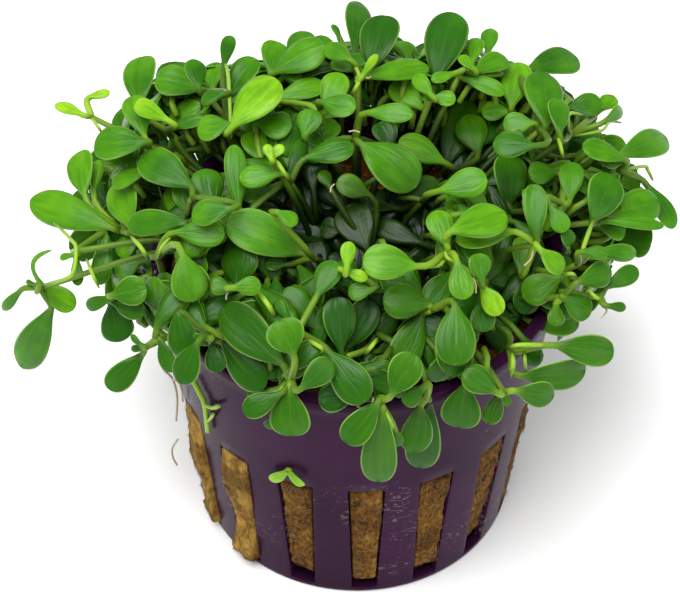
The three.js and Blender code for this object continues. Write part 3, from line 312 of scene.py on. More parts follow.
# How near to a listed tip a leaf's tip is taken to be it, and the tones of all other shoots and leaves
TONE_REACH = 0.8
TONE_OF_SHOOT = (-0.25, 0.2)
TONE_OF_LEAF = (-0.25, 0.3)

# Stalks and stems seen between the leaves: thickness, tone, then their points (u, v)
STALKS = [
    (0.75, 1.0, [(-31.7, 20.8), (-32.4, 21.8), (-33.0, 22.6)]),
    (0.8, 1.0, [(-37.5, 9.5), (-35.5, 7.5), (-34.8, 6.3), (-35.2, 3.3), (-36.8, 2.3), (-38.9, 1.6)]),
    (0.7, 0.9, [(-33.5, 5.0), (-32.8, 3.2), (-32.0, 1.5)]),
    (0.9, 0.9, [(-28.0, 7.8), (-26.9, 6.6), (-25.8, 5.0)]),
    (0.7, 0.7, [(-22.5, 8.3), (-24.2, 6.5), (-24.6, 5.0)]),
    (0.8, 0.9, [(-16.5, 29.8), (-16.0, 28.0), (-15.8, 25.0), (-15.6, 20.0)]),
    (1.0, 0.8, [(-12.3, 1.0), (-11.2, -0.4), (-10.2, -2.0)]),
    (0.9, 0.7, [(-10.3, 17.4), (-9.6, 16.6), (-8.4, 14.7)]),
    (0.9, 0.9, [(-0.7, 29.7), (0.3, 27.4), (-0.8, 25.2)]),
    (0.8, 0.8, [(28.0, 22.9), (26.2, 22.9), (26.3, 20.5)]),
    (0.7, 0.6, [(26.6, 20.2), (30.2, 20.9), (31.3, 22.0), (32.7, 21.9)]),
    (0.8, 0.8, [(24.7, 20.5), (25.2, 19.0), (25.5, 17.5)]),
    (0.8, 0.5, [(32.3, 15.9), (35.5, 16.5), (36.0, 16.0), (36.6, 14.8)]),
    (0.9, 0.7, [(29.3, 10.0), (28.2, 7.0), (27.4, 4.3)]),
    (0.8, 0.9, [(25.4, 3.1), (26.5, 3.2), (27.0, 3.0)]),
    (0.8, 0.8, [(28.2, 1.7), (29.3, 0.5), (30.0, 0.0), (31.0, -0.8)]),
    (0.8, 0.8, [(11.6, 8.0), (11.0, 5.5), (12.3, 4.6), (15.2, 2.5)]),
    (0.8, 0.7, [(7.2, 4.1), (10.0, 4.2), (11.0, 5.2)]),
    (0.9, 0.9, [(18.8, -5.9), (20.5, -5.6), (24.8, -5.7)]),
    (0.7, 0.4, [(20.7, -6.5), (20.9, -9.0)]),
    (0.9, 0.7, [(19.2, -6.5), (19.3, -8.0), (19.0, -9.5)]),
    (0.9, 1.0, [(-7.7, -6.7), (-7.9, -8.4), (-8.1, -10.0)]),
    (0.8, 0.9, [(-8.6, -10.4), (-9.4, -11.2), (-10.0, -12.0)]),
    (0.9, 0.9, [(-6.3, -4.9), (-4.9, -5.7), (-3.3, -6.7)]),
    (0.8, 0.7, [(1.0, -6.8), (1.8, -5.8), (2.5, -4.8)]),
    (1.1, 1.0, [(2.6, -12.3), (3.6, -14.3), (4.6, -16.3)]),
]

# Pale roots and green stalks on the pot's side, and short roots between the leaves: thickness, then their
# points (u, v)
POT_ROOTS = [
    (0.4, [(-24.6, -6.5), (-24.0, -8.6), (-22.9, -9.8), (-22.3, -12.0), (-22.4, -15.0)]),
    (0.35, [(-22.2, -17.3), (-22.9, -18.5), (-22.8, -19.6), (-22.3, -20.5)]),
    (0.4, [(-22.9, -9.8), (-21.9, -10.6), (-21.6, -12.6)]),
]
POT_STALKS = [
    (0.9, [(-20.3, -10.0), (-19.5, -11.6), (-18.9, -13.0), (-18.5, -16.3)]),
    (0.7, [(-18.9, -13.0), (-18.0, -13.4), (-17.1, -13.2)]),
    (0.6, [(-18.6, -15.0), (-18.2, -14.8), (-17.8, -14.2)]),
]
LEAF_ROOTS = [
    (0.35, [(-2.8, 14.3), (-3.2, 13.9), (-3.3, 13.3)]),
    (0.4, [(-1.0, 20.8), (-0.3, 20.9), (0.3, 20.7)]),
    (0.4, [(0.9, 27.7), (1.3, 27.4), (1.7, 27.6)]),
    (0.4, [(30.3, -0.8), (30.9, -1.3), (30.6, -1.9), (30.2, -2.4)]),
    (0.4, [(21.8, 6.0), (21.5, 5.0), (20.7, 4.2)]),
    (0.4, [(14.4, 2.7), (14.7, 1.8), (14.7, 0.8)]),
    (0.35, [(-16.0, 0.9), (-16.2, 0.4), (-16.2, 0.0)]),
    (0.5, [(-8.3, -10.5), (-8.5, -11.2), (-8.4, -12.0)]),
    (0.5, [(0.0, -13.2), (1.0, -13.6), (1.8, -12.9), (2.0, -12.2)]),
]

# How they lie: a stalk's depth under the cushion, how much deeper it is at its ends, how much darker there
# with painted shade, and how much thinner; how far roots lie above such stalks, how far roots and stalks
# stand off the pot, and each one's share of the thickness that is listed; and where on the line of sight the
# pot's side is looked for
STALK_DEPTH = 2.2
STALK_DIP = 3.0
STALK_END_SHADE = 1.2
STALK_THINNER = 0.4
ROOT_ABOVE = 0.6
POT_ROOT_LIFT = 0.5
POT_STALK_LIFT = 0.6
POT_STALK_TONE = 0.75
POT_ROOT_PALE = 0.7
LEAF_ROOT_PALE = 0.6
STALK_SHARE = 0.6
LEAF_ROOT_SHARE = 0.5
POT_ROOT_SHARE = 0.75
POT_SEARCH = (60, -20, 801)

# Torn leaf end on the pot: its fold and the ends of its arms (u, v)
TORN_FOLD = (-8.5, -21.2)
TORN_ENDS = [(-10.8, -22.4), (-6.6, -23.1)]
TORN_WIDTH = 1.5
TORN_LIFT = (0.5, 0.9)
TORN_STALK = 0.2
TORN_TONE = 0.9

# Where the wool bulges or falls short of a slot's face: slot from the front one, height, spread, rise
WOOL_FEATURES = [
    (-2, 3.5, 3.0, 1.6), (-2, 16.0, 6.0, 0.9), (-3, 12.0, 8.0, 1.1), (-3, 2.5, 2.5, 0.9),
    (0, 1.5, 0.9, -2.4), (1, 1.6, 1.2, -2.4), (-1, 1.8, 1.6, -1.8), (2, 7.0, 3.0, -0.6), (2, 2.0, 1.8, -1.6),
]

# Lumps of that face: height, size and seed; and the sines that any lumps are summed from
WOOL_LUMPS = [(0.26, 4.0, 3), (0.12, 1.5, 4), (0.05, 0.7, 5)]
LUMP_WAVES = 8
LUMP_UNEVEN = (0.7, 1.5)
LUMP_PHASE = 6.28
LUMP_GAIN = 1.6

# Loose fibres: how many, length, lean, bow, lift above the wool, radius, how near they come to a slot's ends
# and edges, and the shortest step that one may have
FIBRES_PER_SLOT = 90
FIBRE_LONG = (1.0, 3.6)
FIBRE_LEAN = 0.9
FIBRE_BOW = 0.5
FIBRE_LIFT = (0.05, 0.22)
FIBRE_RADIUS = (0.012, 0.028)
FIBRE_ENDS = (0.8, 0.6)
FIBRE_SPREAD = 0.86
FIBRE_EDGE = (0.2, 0.25)
SHORTEST_LEG = 0.02

# Edge of the leafy mass as it is seen (u, v), inside which the filling leaves keep
MASS_EDGE = [
    (-29, 27), (-25, 30), (-18, 30.5), (-9, 30.5), (-1, 33), (6, 34), (13, 34), (18, 30), (24, 29),
    (29, 24.5), (34, 19), (38, 12), (35, 8), (33, 3), (29, -1), (26, -7), (20, -12), (13, -13), (6, -13.5),
    (-1, -12), (-7, -12.5), (-12, -10), (-17, -8), (-22, -6), (-26, -4), (-30, -1), (-33, 5), (-36, 12),
    (-33, 17), (-30, 20),
]

# Small leaves half hidden behind others: base u, v, tip u, v and width as seen, then tone
SMALL_LEAVES = [
    (-31, 10.5, -33.3, 12.6, 2.2, -0.4), (-16.2, 25.2, -16.7, 27.7, 1.4, 0.2),
    (15.2, 27.5, 18.2, 28, 0.9, 0.3), (19.7, -1.8, 18, 1.2, 2, -0.2), (10, -6.5, 12.4, -9.5, 3, -0.5),
    (-8.9, 4.2, -7.1, 3, 1.6, 0.0), (-8.6, -2.3, -10, 0, 1.8, -0.1), (1.8, 1.2, 6, 2.4, 2, -0.4),
    (-9, 27.6, -6.8, 27.2, 1.6, -0.4), (9, 19.8, 6, 22.2, 1.8, 0.0), (24.3, 14.6, 20.8, 14.6, 2.8, 0.0),
    (27.2, 6.5, 27.6, 10.7, 1.9, 0.1), (8.2, 8.2, 8.5, 11.2, 0.9, 0.1),
]

# Leaves inside the cushion: tries, after how many the gaps are looked for again, how much smaller the last
# ones are, length and width, how deep they lie, tone, and how deep and by how much painted shade darkens them
INNER_TRIES = 16000
GAPS_AGAIN = 60
SMALLER_LAST = 0.45
INNER_LONG = (3.8, 7.8)
INNER_WIDE = (2.6, 4.4)
INNER_SUNK = (0.02, 1)
DEEPEST = 34.0
INNER_TONE = (-0.25, 0.2)
FULL_SHADE_DEPTH = 15.0
SHADE_BY_DEPTH = 0.6

# Leaves round the sides and back: tries, turn round the axis and rise, both in the cushion's own shape, share
# of its radii, length and width, lift and stalk, and tone
WRAP_TRIES = 16000
WRAP_TURN = (-70, 250)
WRAP_RISE = (-0.62, 0.95)
WRAP_OUT = (0.6, 0.97)
WRAP_LONG = (5.0, 8.5)
WRAP_WIDE = (3.2, 4.8)
WRAP_LIFT = (0.0, 0.5)
WRAP_STALK = 1.0
WRAP_TONE = (-0.5, 0.3)
WRAP_FOOT = 2.5

# Room for both: how far behind the front leaves they stay, where a leaf's foot lies under its blade, the size
# of a cell, the box that they stay in, cells round it, and how much of a leaf's room may be taken already.
# The seed is that of every random draw.
HIDDEN_BY = 0.5
FOOT_DOWN = 3.0
FOOT_BACK = 2.0
ROOM = 0.6
ROOM_BOX = np.array([[-41.0, -29.5, 18.0], [37.5, 42.0, 60.0]])
ROOM_MARGIN = 4
CROWDING = 0.30
SMALL_CROWDING = 0.5
SEED = 11


# Places along the line of sight

def seen(u, v, depth):
    """The point seen at (u, v), depth mm nearer to the eye than the sight plane."""
    u, v, depth = (np.asarray(x, float)[..., None] for x in (u, v, depth))
    plane = u * X_AXIS + v * UP + np.array([0.0, 0.0, SIGHT_HEIGHT])
    return plane + (EYE - plane) * depth / SIGHT_DISTANCE


def sighted(points):
    """Where points are seen, as u and v, and their depth: the inverse of seen()."""
    away = points - EYE
    depth = SIGHT_DISTANCE + away @ VIEW
    scale = SIGHT_DISTANCE / (SIGHT_DISTANCE - depth)
    return away[..., 0] * scale + SIGHT_SIDE, away @ UP * scale, depth


def unit(vectors):
    """Vectors of length 1 along the given ones."""
    return vectors / np.maximum(np.linalg.norm(vectors, axis=-1, keepdims=True), 1e-12)


def cushion_depth(u, v):
    """Depth at which the line of sight meets the cushion's ellipsoid, the nearer root of its quadratic."""
    start = (seen(u, v, 0) - CUSHION_CENTRE) / CUSHION_RADII
    step = (seen(u, v, 1) - seen(u, v, 0)) / CUSHION_RADII
    a = (step * step).sum(-1)
    b = (start * step).sum(-1)
    c = (start * start).sum(-1) - 1
    return (-b + np.sqrt(np.maximum(b * b - a * c, 0))) / a


def cushion_normal(point):
    """Direction straight out of the cushion at a point."""
    return unit((point - CUSHION_CENTRE) / CUSHION_RADII ** 2)


class Blade:
    """The flat part of a leaf: its base and tip, the direction across it, its face, half width and bow."""

    def __init__(self, base, tip, across, face, half, bow=0.0):
        self.base, self.tip, self.across, self.face = base, tip, across, face
        self.half, self.bow = half, bow
        self.tone = 0.0

    def points(self, s, q):
        """base + s (tip - base), raised by an arch 4 s (1 - s) and carried q half widths across."""
        s, q = (np.asarray(x, float)[..., None] for x in (s, q))
        hump = 4 * s * (1 - s)
        line = self.base + s * (self.tip - self.base)
        line = line + self.face * LEAF_ARCH * np.linalg.norm(self.tip - self.base) * hump
        return line + self.across * (self.bow * hump + q * self.half * spoon(s))

    def slide(self, distance):
        """Moves the blade along the line of sight; what is seen of it stays where it was."""
        for name in ("base", "tip"):
            u, v, depth = sighted(getattr(self, name))
            setattr(self, name, seen(u, v, depth + distance))


def spoon(s):
    """Half width of a spoon-shaped blade as a share of its widest: s^rise (1 - s)^fall over its peak."""
    s = np.clip(np.asarray(s, float), 0, 1)
    return (s / BLADE_WIDEST) ** BLADE_RISE * ((1 - s) / (1 - BLADE_WIDEST)) ** BLADE_FALL


def front_blade(leaf):
    """A blade from its table row, on a plane between the cushion's surface and one that faces the viewer."""
    bu, bv, tu, tv, width = leaf[:5]
    bow = leaf[6] if len(leaf) > 6 else 0.0
    mu, mv = (bu + tu) / 2, (bv + tv) / 2
    centre = seen(mu, mv, cushion_depth(mu, mv))
    face = cushion_normal(centre) * (1 - FACE_VIEWER) + VIEW * FACE_VIEWER
    for axis, by_u, by_v in SWAY_WAVES:
        face[axis] += SWAY * math.sin(by_u * bu + by_v * bv)
    face = unit(face)

    def on_plane(u, v):
        start = seen(u, v, 0)
        step = seen(u, v, 1) - start
        return start + step * ((centre - start) @ face) / (step @ face)

    base, tip = on_plane(bu, bv), on_plane(tu, tv)
    across = unit(np.cross(face, tip - base))
    shown = np.linalg.norm(across - VIEW * (across @ VIEW))
    return Blade(base, tip, across, face, width / 2 / max(shown, EDGE_ON), bow)


def outward_blade(node, turn, length, width, lift, start):
    """A blade that lies along the cushion's surface from a node, turned by `turn` from straight up."""
    out = cushion_normal(node)
    east = unit(np.cross([0.0, 0.0, 1.0], out))
    north = np.cross(out, east)
    along = unit(north * math.cos(turn) + east * math.sin(turn) + out * lift)
    across = unit(np.cross(out, along))
    base = node + along * start
    return Blade(base, base + along * length, across, np.cross(along, across), width / 2)


nearest = np.full((2 * HALF_FIELD, 2 * HALF_FIELD), np.inf)


def pairs(first, second):
    """Every pairing of two lists of values, the second running faster, as two flat arrays."""
    return [x.ravel() for x in np.meshgrid(first, second, indexing="ij")]


def cells_of(blade, margin=CELL):
    """The field cells of a blade's sample points and a margin round them, and each one's depth."""
    u, v, depth = (x.ravel() for x in sighted(blade.points(*SIGHT_SAMPLES)))
    steps = np.array([-margin, 0.0, margin])
    du, dv = pairs(steps, steps)
    column = np.floor((u[:, None] + du) / CELL + 0.5).astype(int) + HALF_FIELD
    row = np.floor((v[:, None] + dv) / CELL + 0.5).astype(int) + HALF_FIELD
    return column.ravel(), row.ravel(), np.repeat(depth, len(du))


def settle(blade):
    """Slides a blade back along the line of sight until it clears every blade in front of it."""
    column, row, depth = cells_of(blade)
    distance = min(0.0, float(np.min(nearest[column, row] - LEAF_GAP - depth)))
    np.minimum.at(nearest, (column, row), depth + distance)
    blade.slide(distance)


class Shoot:
    """A node with its blades and the way its stem takes down to the wool."""

    def __init__(self, at, blades):
        self.at, self.blades = at, blades
        radius = math.hypot(at[0], at[1])
        heading = np.array([at[0], at[1], 0.0]) / radius
        root = heading * min(radius * ROOT_SHARE, ROOT_REACH) + [0.0, 0.0, WOOL_TOP]
        if radius > RIM_RADIUS - LOW_NODE_INSET and at[2] < POT_HEIGHT + LOW_NODE_RISE:
            middle = heading * (RIM_RADIUS - RIM_INSET) + [0.0, 0.0, POT_HEIGHT + RIM_CLEAR]
        else:
            middle = (root + at) / 2 + [0.0, 0.0, STEM_BOW]
        self.path = np.array([root, middle, at])


def plant_shoots():
    """Every shoot with its blades settled, the tabled ones by rank and then those round the back."""
    rows = [(node, [(leaf[5], front_blade(leaf)) for leaf in leaves]) for node, *leaves in SHOOTS]
    for _, blade in sorted((item for _, items in rows for item in items), key=lambda item: item[0]):
        settle(blade)
    shoots = []
    for node, items in rows:
        blades = [blade for _, blade in items]
        depth = float(np.mean([sighted(blade.base)[2] for blade in blades])) - NODE_SETBACK
        shoots.append(Shoot(seen(*node, depth), blades))
    for degrees, radius, height in BACK_SHOOTS:
        turn = math.radians(degrees)
        at = np.array([radius * math.cos(turn), radius * math.sin(turn), height])
        blades = []
        for k in range(BACK_LEAVES):
            uneven = BACK_LEAF_UNEVEN * math.sin(BACK_LEAF_WAVES[0] * at[0] + BACK_LEAF_WAVES[1] * k)
            fan = (k - (BACK_LEAVES - 1) / 2) * BACK_LEAF_TURN + uneven
            length = BACK_LEAF_LENGTH * (1 - BACK_LEAF_SHORTER * max(math.cos(fan), 0))
            blades.append(outward_blade(at, fan, length, BACK_LEAF_WIDTH, BACK_LEAF_LIFT, BACK_STALK))
        for blade in blades:
            settle(blade)
        shoots.append(Shoot(at, blades))
    return shoots


# Meshes

def add_object(name, data):
    """An object in the scene with the given data."""
    made = bpy.data.objects.new(name, data)
    bpy.context.scene.collection.objects.link(made)
    return made


def add_mesh(name, points, faces, attributes=None):
    """A smooth mesh object from points in mm, a list of face arrays, and per-point attributes."""
    mesh = bpy.data.meshes.new(name)
    loops = np.concatenate([block.ravel() for block in faces]).astype(np.int32)
    sizes = np.concatenate([np.full(len(block), block.shape[1]) for block in faces])
    starts = np.concatenate([[0], np.cumsum(sizes)[:-1]]).astype(np.int32)
    mesh.vertices.add(len(points))
    mesh.vertices.foreach_set("co", (points * MM).astype(np.float32).ravel())
    mesh.loops.add(len(loops))
    mesh.loops.foreach_set("vertex_index", loops)
    mesh.polygons.add(len(sizes))
    mesh.polygons.foreach_set("loop_start", starts)
    mesh.polygons.foreach_set("use_smooth", np.full(len(sizes), True))
    for key, values in (attributes or {}).items():
        attribute = mesh.attributes.new(key, "FLOAT", "POINT")
        attribute.data.foreach_set("value", values.astype(np.float32))
    mesh.update(calc_edges=True)
    mesh.validate()
    return add_object(name, mesh)


def loft_faces(rows, columns):
    """Faces of a closed loft: quads between its rings, which go round to the left, and a fan at each end.

    Points are rows x columns ring points in order, then the start pole and the end pole."""
    i, j = pairs(np.arange(rows - 1), np.arange(columns))
    right = (j + 1) % columns
    low, high = i * columns, (i + 1) * columns
    quads = np.stack([low + j, low + right, high + right, high + j], 1)
    ring = np.arange(columns)
    after = (ring + 1) % columns
    first, last = rows * columns, rows * columns + 1
    top = (rows - 1) * columns
    fans = np.concatenate([
        np.stack([after, ring, np.full(columns, first)], 1),
        np.stack([top + ring, top + after, np.full(columns, last)], 1),
    ])
    return quads, fans


class Bunch:
    """Lofts gathered into one mesh, with their attributes."""

    def __init__(self):
        self.points, self.quads, self.fans, self.values = [], [], [], []
        self.count = 0

    def add(self, rings, start, end, **values):
        """A loft through rings (rows x columns x 3) closed at two poles; values are per ring point.

        Depth is added to them: how far inside the cushion a point lies, as a share of its radii; the leaf
        finish paints shade by it."""
        rows, columns = rings.shape[:2]
        quads, fans = loft_faces(rows, columns)
        values["depth"] = 1 - np.linalg.norm((rings - CUSHION_CENTRE) / CUSHION_RADII, axis=-1)
        self.points.append(np.concatenate([rings.reshape(-1, 3), [start], [end]]))
        self.quads.append(quads + self.count)
        self.fans.append(fans + self.count)
        full = {}
        for key, value in values.items():
            grid = np.broadcast_to(value, (rows, columns))
            full[key] = np.concatenate([grid.ravel(), [grid[0].mean()], [grid[-1].mean()]])
        self.values.append(full)
        self.count += rows * columns + 2

    def mesh(self, name):
        """One mesh object of all lofts so far."""
        keys = self.values[0].keys()
        attributes = {key: np.concatenate([part[key] for part in self.values]) for key in keys}
        faces = [np.concatenate(self.quads), np.concatenate(self.fans)]
        return add_mesh(name, np.concatenate(self.points), faces, attributes)


def spline(points, count):
    """Catmull-Rom curve through points, `count` steps a leg: each leg is the cubic of its four neighbours."""
    points = np.asarray(points, float)
    ends = np.concatenate([[2 * points[0] - points[1]], points, [2 * points[-1] - points[-2]]])
    t = np.arange(count)[:, None] / count
    legs = []
    for k in range(len(points) - 1):
        a, b, c, d = ends[k:k + 4]
        legs.append(0.5 * (2 * b + (c - a) * t + (2 * a - 5 * b + 4 * c - d) * t ** 2
                           + (3 * b - a - 3 * c + d) * t ** 3))
    return np.concatenate([*legs, points[-1:]])


def frames(line, hint):
    """Tangent, side and upper direction along a line; the side is square to the tangent and near `hint`."""
    tangent = unit(np.gradient(line, axis=0))
    side = unit(hint - tangent * (hint * tangent).sum(-1, keepdims=True))
    return tangent, side, np.cross(tangent, side)


def add_tube(bunch, line, radius, columns, **values):
    """A round tube along a line: circles of the given radius, square to it, and rounded ends."""
    line = np.asarray(line, float)
    radius = np.broadcast_to(radius, len(line))
    hint = np.broadcast_to(unit(np.cross(line[-1] - line[0], TUBE_HINT)), line.shape)
    tangent, side, upper = frames(line, hint)
    turn = 2 * np.pi * np.arange(columns) / columns
    rings = line[:, None] + radius[:, None, None] * (
        side[:, None] * np.cos(turn)[:, None] - upper[:, None] * np.sin(turn)[:, None])
    start = line[0] - tangent[0] * radius[0] * TUBE_END
    end = line[-1] + tangent[-1] * radius[-1] * TUBE_END
    bunch.add(rings[:, ::-1], start, end, **values)


def add_stalk(bunch, line, radius, tone):
    """A tube that looks like a leaf's stalk."""
    add_tube(bunch, line, radius, STALK_COLUMNS, along=-1.0, across=0.0, face=0.0, tone=tone)


def add_leaf(bunch, node, blade, chance, grid=LEAF_GRID):
    """A leaf as a loft from its node to its tip.

    The stalk follows a Hermite curve from the node to the blade's base. Each cross-section is an ellipse of
    half width w and half thickness h, (w cos a, h sin a), with w the root of the stalk's and the spoon's
    squares, and is cupped by c w cos(a)^2, grooved along the midrib, and rippled along the margins."""
    (stalk_rows, blade_rows), columns = grid
    along = unit(blade.tip - blade.base)
    reach = max(np.linalg.norm(blade.base - node), STALK_SHORTEST)
    t = np.linspace(0, 1, stalk_rows + 1)[:-1, None]
    toward = unit(unit(blade.base - node) + STALK_OUT * cushion_normal(node) + STALK_ALONG * along)
    stalk = (node * (2 * t ** 3 - 3 * t ** 2 + 1) + toward * reach * (t ** 3 - 2 * t ** 2 + t)
             + blade.base * (3 * t ** 2 - 2 * t ** 3) + along * reach * (t ** 3 - t ** 2))
    s = 1 - (1 - np.linspace(0, 1, blade_rows + 1)[:-1]) ** ROWS_TO_TIP
    s = np.append(s, LAST_ROW)
    line = np.concatenate([stalk, blade.points(s, np.zeros_like(s))])
    place = np.concatenate([t[:, 0] - 1, s])
    blend = np.clip(place, 0, 1)
    tangent, side, upper = frames(line, np.broadcast_to(blade.across, line.shape))
    stalk_half = min(STALK_HALF + STALK_HALF_GAIN * blade.half, STALK_HALF_MOST)
    width = np.sqrt((stalk_half * (1 - blend) ** 3) ** 2 + (blade.half * spoon(blend)) ** 2)
    thick = STALK_THICK * (1 - blend) ** 4 + BLADE_THICK * np.minimum(1, TIP_THIN * (TIP_END - blend))
    turn = 2 * np.pi * np.arange(columns) / columns
    c, n = np.cos(turn), np.sin(turn)
    flat = np.clip(blend / FLAT_FROM, 0, 1)
    cup = chance.uniform(*CUP)
    groove = -GROOVE_DEPTH * np.exp(-(c / GROOVE_HALF) ** 2)
    ripple = chance.uniform(0.0, RIPPLE)
    ripple = ripple * np.sin(chance.uniform(*RIPPLE_WAVES) * blend + chance.uniform(0, 6))
    twist = chance.uniform(-TWIST, TWIST)
    rise = flat[:, None] * (width[:, None] * (cup * c ** 2 + twist * c * blend[:, None]
                            + ripple[:, None] * c * np.abs(c)) + groove * min(blade.half, GROOVE_WIDEST))
    rings = (line[:, None] + side[:, None] * (width[:, None] * c)[..., None]
             + upper[:, None] * (thick[:, None] * n + rise)[..., None])
    end = blade.points(1.0, 0.0) + upper[-1] * float(rise[-1].mean())
    bunch.add(rings[:, ::-1], line[0] - tangent[0] * LEAF_FOOT, end,
              along=place[:, None], across=c[::-1], face=n[::-1], tone=blade.tone)


def set_tones(shoots, chance):
    """Gives each blade its tone: the listed ones their own, the rest one by chance about their shoot's."""
    tips = np.array([(u, v) for u, v, _ in TONES])
    for shoot in shoots:
        common = chance.uniform(*TONE_OF_SHOOT)
        for blade in shoot.blades:
            u, v, _ = sighted(blade.points(1.0, 0.0))
            apart = np.hypot(tips[:, 0] - u, tips[:, 1] - v)
            if apart.min() < TONE_REACH:
                blade.tone = TONES[int(apart.argmin())][2]
            else:
                blade.tone = common + chance.uniform(*TONE_OF_LEAF)


def within(u, v, edge):
    """Whether points lie inside an outline: an odd number of its sides cross the line to their right."""
    edge = np.array(edge, float)
    start, end = edge, np.roll(edge, -1, axis=0)
    u, v = np.atleast_1d(u)[:, None], np.atleast_1d(v)[:, None]
    spans = (start[:, 1] > v) != (end[:, 1] > v)
    rise = np.where(end[:, 1] == start[:, 1], 1.0, end[:, 1] - start[:, 1])
    cross = start[:, 0] + (v - start[:, 1]) * (end[:, 0] - start[:, 0]) / rise
    return (spans & (u < cross)).sum(1) % 2 == 1


class Crowd:
    """What leaves already take up: cells of room in space, and how near to the eye each line is cut off."""

    def __init__(self, shoots):
        self.shape = (np.diff(ROOM_BOX, axis=0)[0] / ROOM).astype(int) + 2 * ROOM_MARGIN + 1
        self.taken = np.zeros(self.shape, bool)
        self.front = np.full_like(nearest, -np.inf)
        self.covered = np.zeros(nearest.shape, bool)
        for shoot in shoots:
            self.taken[self.cells(spline(shoot.path, 3 * STEM_STEPS))] = True
            for blade in shoot.blades:
                self.taken[self.cells(self.samples(blade))] = True
                column, row, depth = cells_of(blade)
                np.maximum.at(self.front, (column, row), depth)
                self.covered[cells_of(blade, 0.0)[:2]] = True
        self.front[np.isinf(self.front)] = np.inf
        column, row = pairs(np.arange(2 * HALF_FIELD), np.arange(2 * HALF_FIELD))
        self.mass = within((column - HALF_FIELD) * CELL, (row - HALF_FIELD) * CELL, MASS_EDGE)
        self.mass = self.mass.reshape(self.front.shape)

    def samples(self, blade):
        """Points all over a blade, about a cell of room apart."""
        return blade.points(*ROOM_SAMPLES).reshape(-1, 3)

    def cells(self, points):
        """The cells of room that points lie in, as an index."""
        cells = ((points - ROOM_BOX[0]) / ROOM).astype(int) + ROOM_MARGIN
        return tuple(np.clip(cells, 0, self.shape - 1).T)

    def hide(self, blade):
        """Slides a blade back until it lies behind the foremost leaf wherever there is one; gives how far."""
        column, row, depth = cells_of(blade)
        distance = min(0.0, float(np.min(self.front[column, row] - HIDDEN_BY - depth)) - HAIR)
        blade.slide(distance)
        return -distance

    def admit(self, blade, crowding=CROWDING):
        """Takes room for a blade if it is free, in the box, clear of the pot and hidden from the front."""
        points = self.samples(blade)
        if np.any(points < ROOM_BOX[0]) or np.any(points > ROOM_BOX[1]):
            return False
        radius, height = np.hypot(points[:, 0], points[:, 1]), points[:, 2]
        near_wall = (radius > WALL_TOP_RADIUS - WALL - ROOM) & (height < POT_HEIGHT + ROOM)
        if np.any((radius < RIM_RADIUS + ROOM) & (near_wall | (height < WOOL_TOP + ROOM))):
            return False
        cells = self.cells(points)
        if self.taken[cells].mean() > crowding:
            return False
        column, row, depth = cells_of(blade)
        if not self.mass[column, row].all() or np.any(self.front[column, row] - HIDDEN_BY < depth):
            return False
        self.taken[cells] = True
        self.covered[cells_of(blade, 0.0)[:2]] = True
        return True


def add_filling(bunch, blade, tone, chance):
    """A filling leaf: its stalk starts under its blade's base."""
    blade.tone = tone
    foot = blade.base - cushion_normal(blade.base) * FOOT_DOWN - unit(blade.tip - blade.base) * FOOT_BACK
    add_leaf(bunch, foot, blade, chance, FILL_GRID)


def small_leaves(crowd, chance, bunch):
    """The photo's small half hidden leaves, each slid behind what covers it."""
    for *leaf, tone in SMALL_LEAVES:
        blade = front_blade(leaf)
        crowd.hide(blade)
        if crowd.admit(blade, SMALL_CROWDING):
            add_filling(bunch, blade, tone, chance)


def inner_leaves(crowd, chance, bunch):
    """Leaves inside the cushion, where a gap between the front ones is still open.

    Painted shade makes them darker the deeper they lie."""
    for number in range(INNER_TRIES):
        if number % GAPS_AGAIN == 0:
            gaps = np.argwhere(crowd.mass & ~crowd.covered)
        u, v = (gaps[chance.integers(len(gaps))] - HALF_FIELD) * CELL
        scale = 1 - SMALLER_LAST * number / INNER_TRIES
        long, wide = scale * chance.uniform(*INNER_LONG), scale * chance.uniform(*INNER_WIDE)
        swing = chance.uniform(0, 2 * np.pi)
        du, dv = long / 2 * math.cos(swing), long / 2 * math.sin(swing)
        blade = front_blade((u - du, v - dv, u + du, v + dv, wide))
        sunk = DEEPEST * chance.uniform(*INNER_SUNK) ** 2
        blade.slide(-sunk)
        sunk += crowd.hide(blade)
        if crowd.admit(blade):
            # painted shade: the deeper a leaf lies, the darker its tone
            tone = chance.uniform(*INNER_TONE) - SHADE_BY_DEPTH * min(sunk / FULL_SHADE_DEPTH, 1)
            add_filling(bunch, blade, tone, chance)


def wrap_leaves(crowd, chance, bunch):
    """Leaves over the sides and back of the cushion."""
    for _ in range(WRAP_TRIES):
        turn = math.radians(chance.uniform(*WRAP_TURN))
        rise = math.asin(chance.uniform(*WRAP_RISE))
        out = np.array([math.cos(rise) * math.cos(turn), math.cos(rise) * math.sin(turn), math.sin(rise)])
        node = CUSHION_CENTRE + CUSHION_RADII * out * chance.uniform(*WRAP_OUT)
        long, wide = chance.uniform(*WRAP_LONG), chance.uniform(*WRAP_WIDE)
        swing, lift = chance.uniform(-np.pi, np.pi), chance.uniform(*WRAP_LIFT)
        blade = outward_blade(node, swing, long, wide, lift, WRAP_STALK)
        if crowd.admit(blade):
            blade.tone = chance.uniform(*WRAP_TONE)
            add_leaf(bunch, node - cushion_normal(node) * WRAP_FOOT, blade, chance, FILL_GRID)


def slot_half(z):
    """Half width of a slot at a height."""
    gain = SLOT_HALF_TOP - SLOT_HALF_BOTTOM
    return SLOT_HALF_BOTTOM + gain * (z - SLOT_BOTTOM) / (SLOT_TOP - SLOT_BOTTOM)


def wall_radius(z):
    """Outer radius of the pot's wall at a height."""
    return BASE_RADIUS + (WALL_TOP_RADIUS - BASE_RADIUS) * z / POT_HEIGHT


def slot_centre(number):
    """Angle of a slot, counted round from the front one."""
    return FRONT_SLOT_TURN - np.pi / 2 + SLOT_PITCH * number


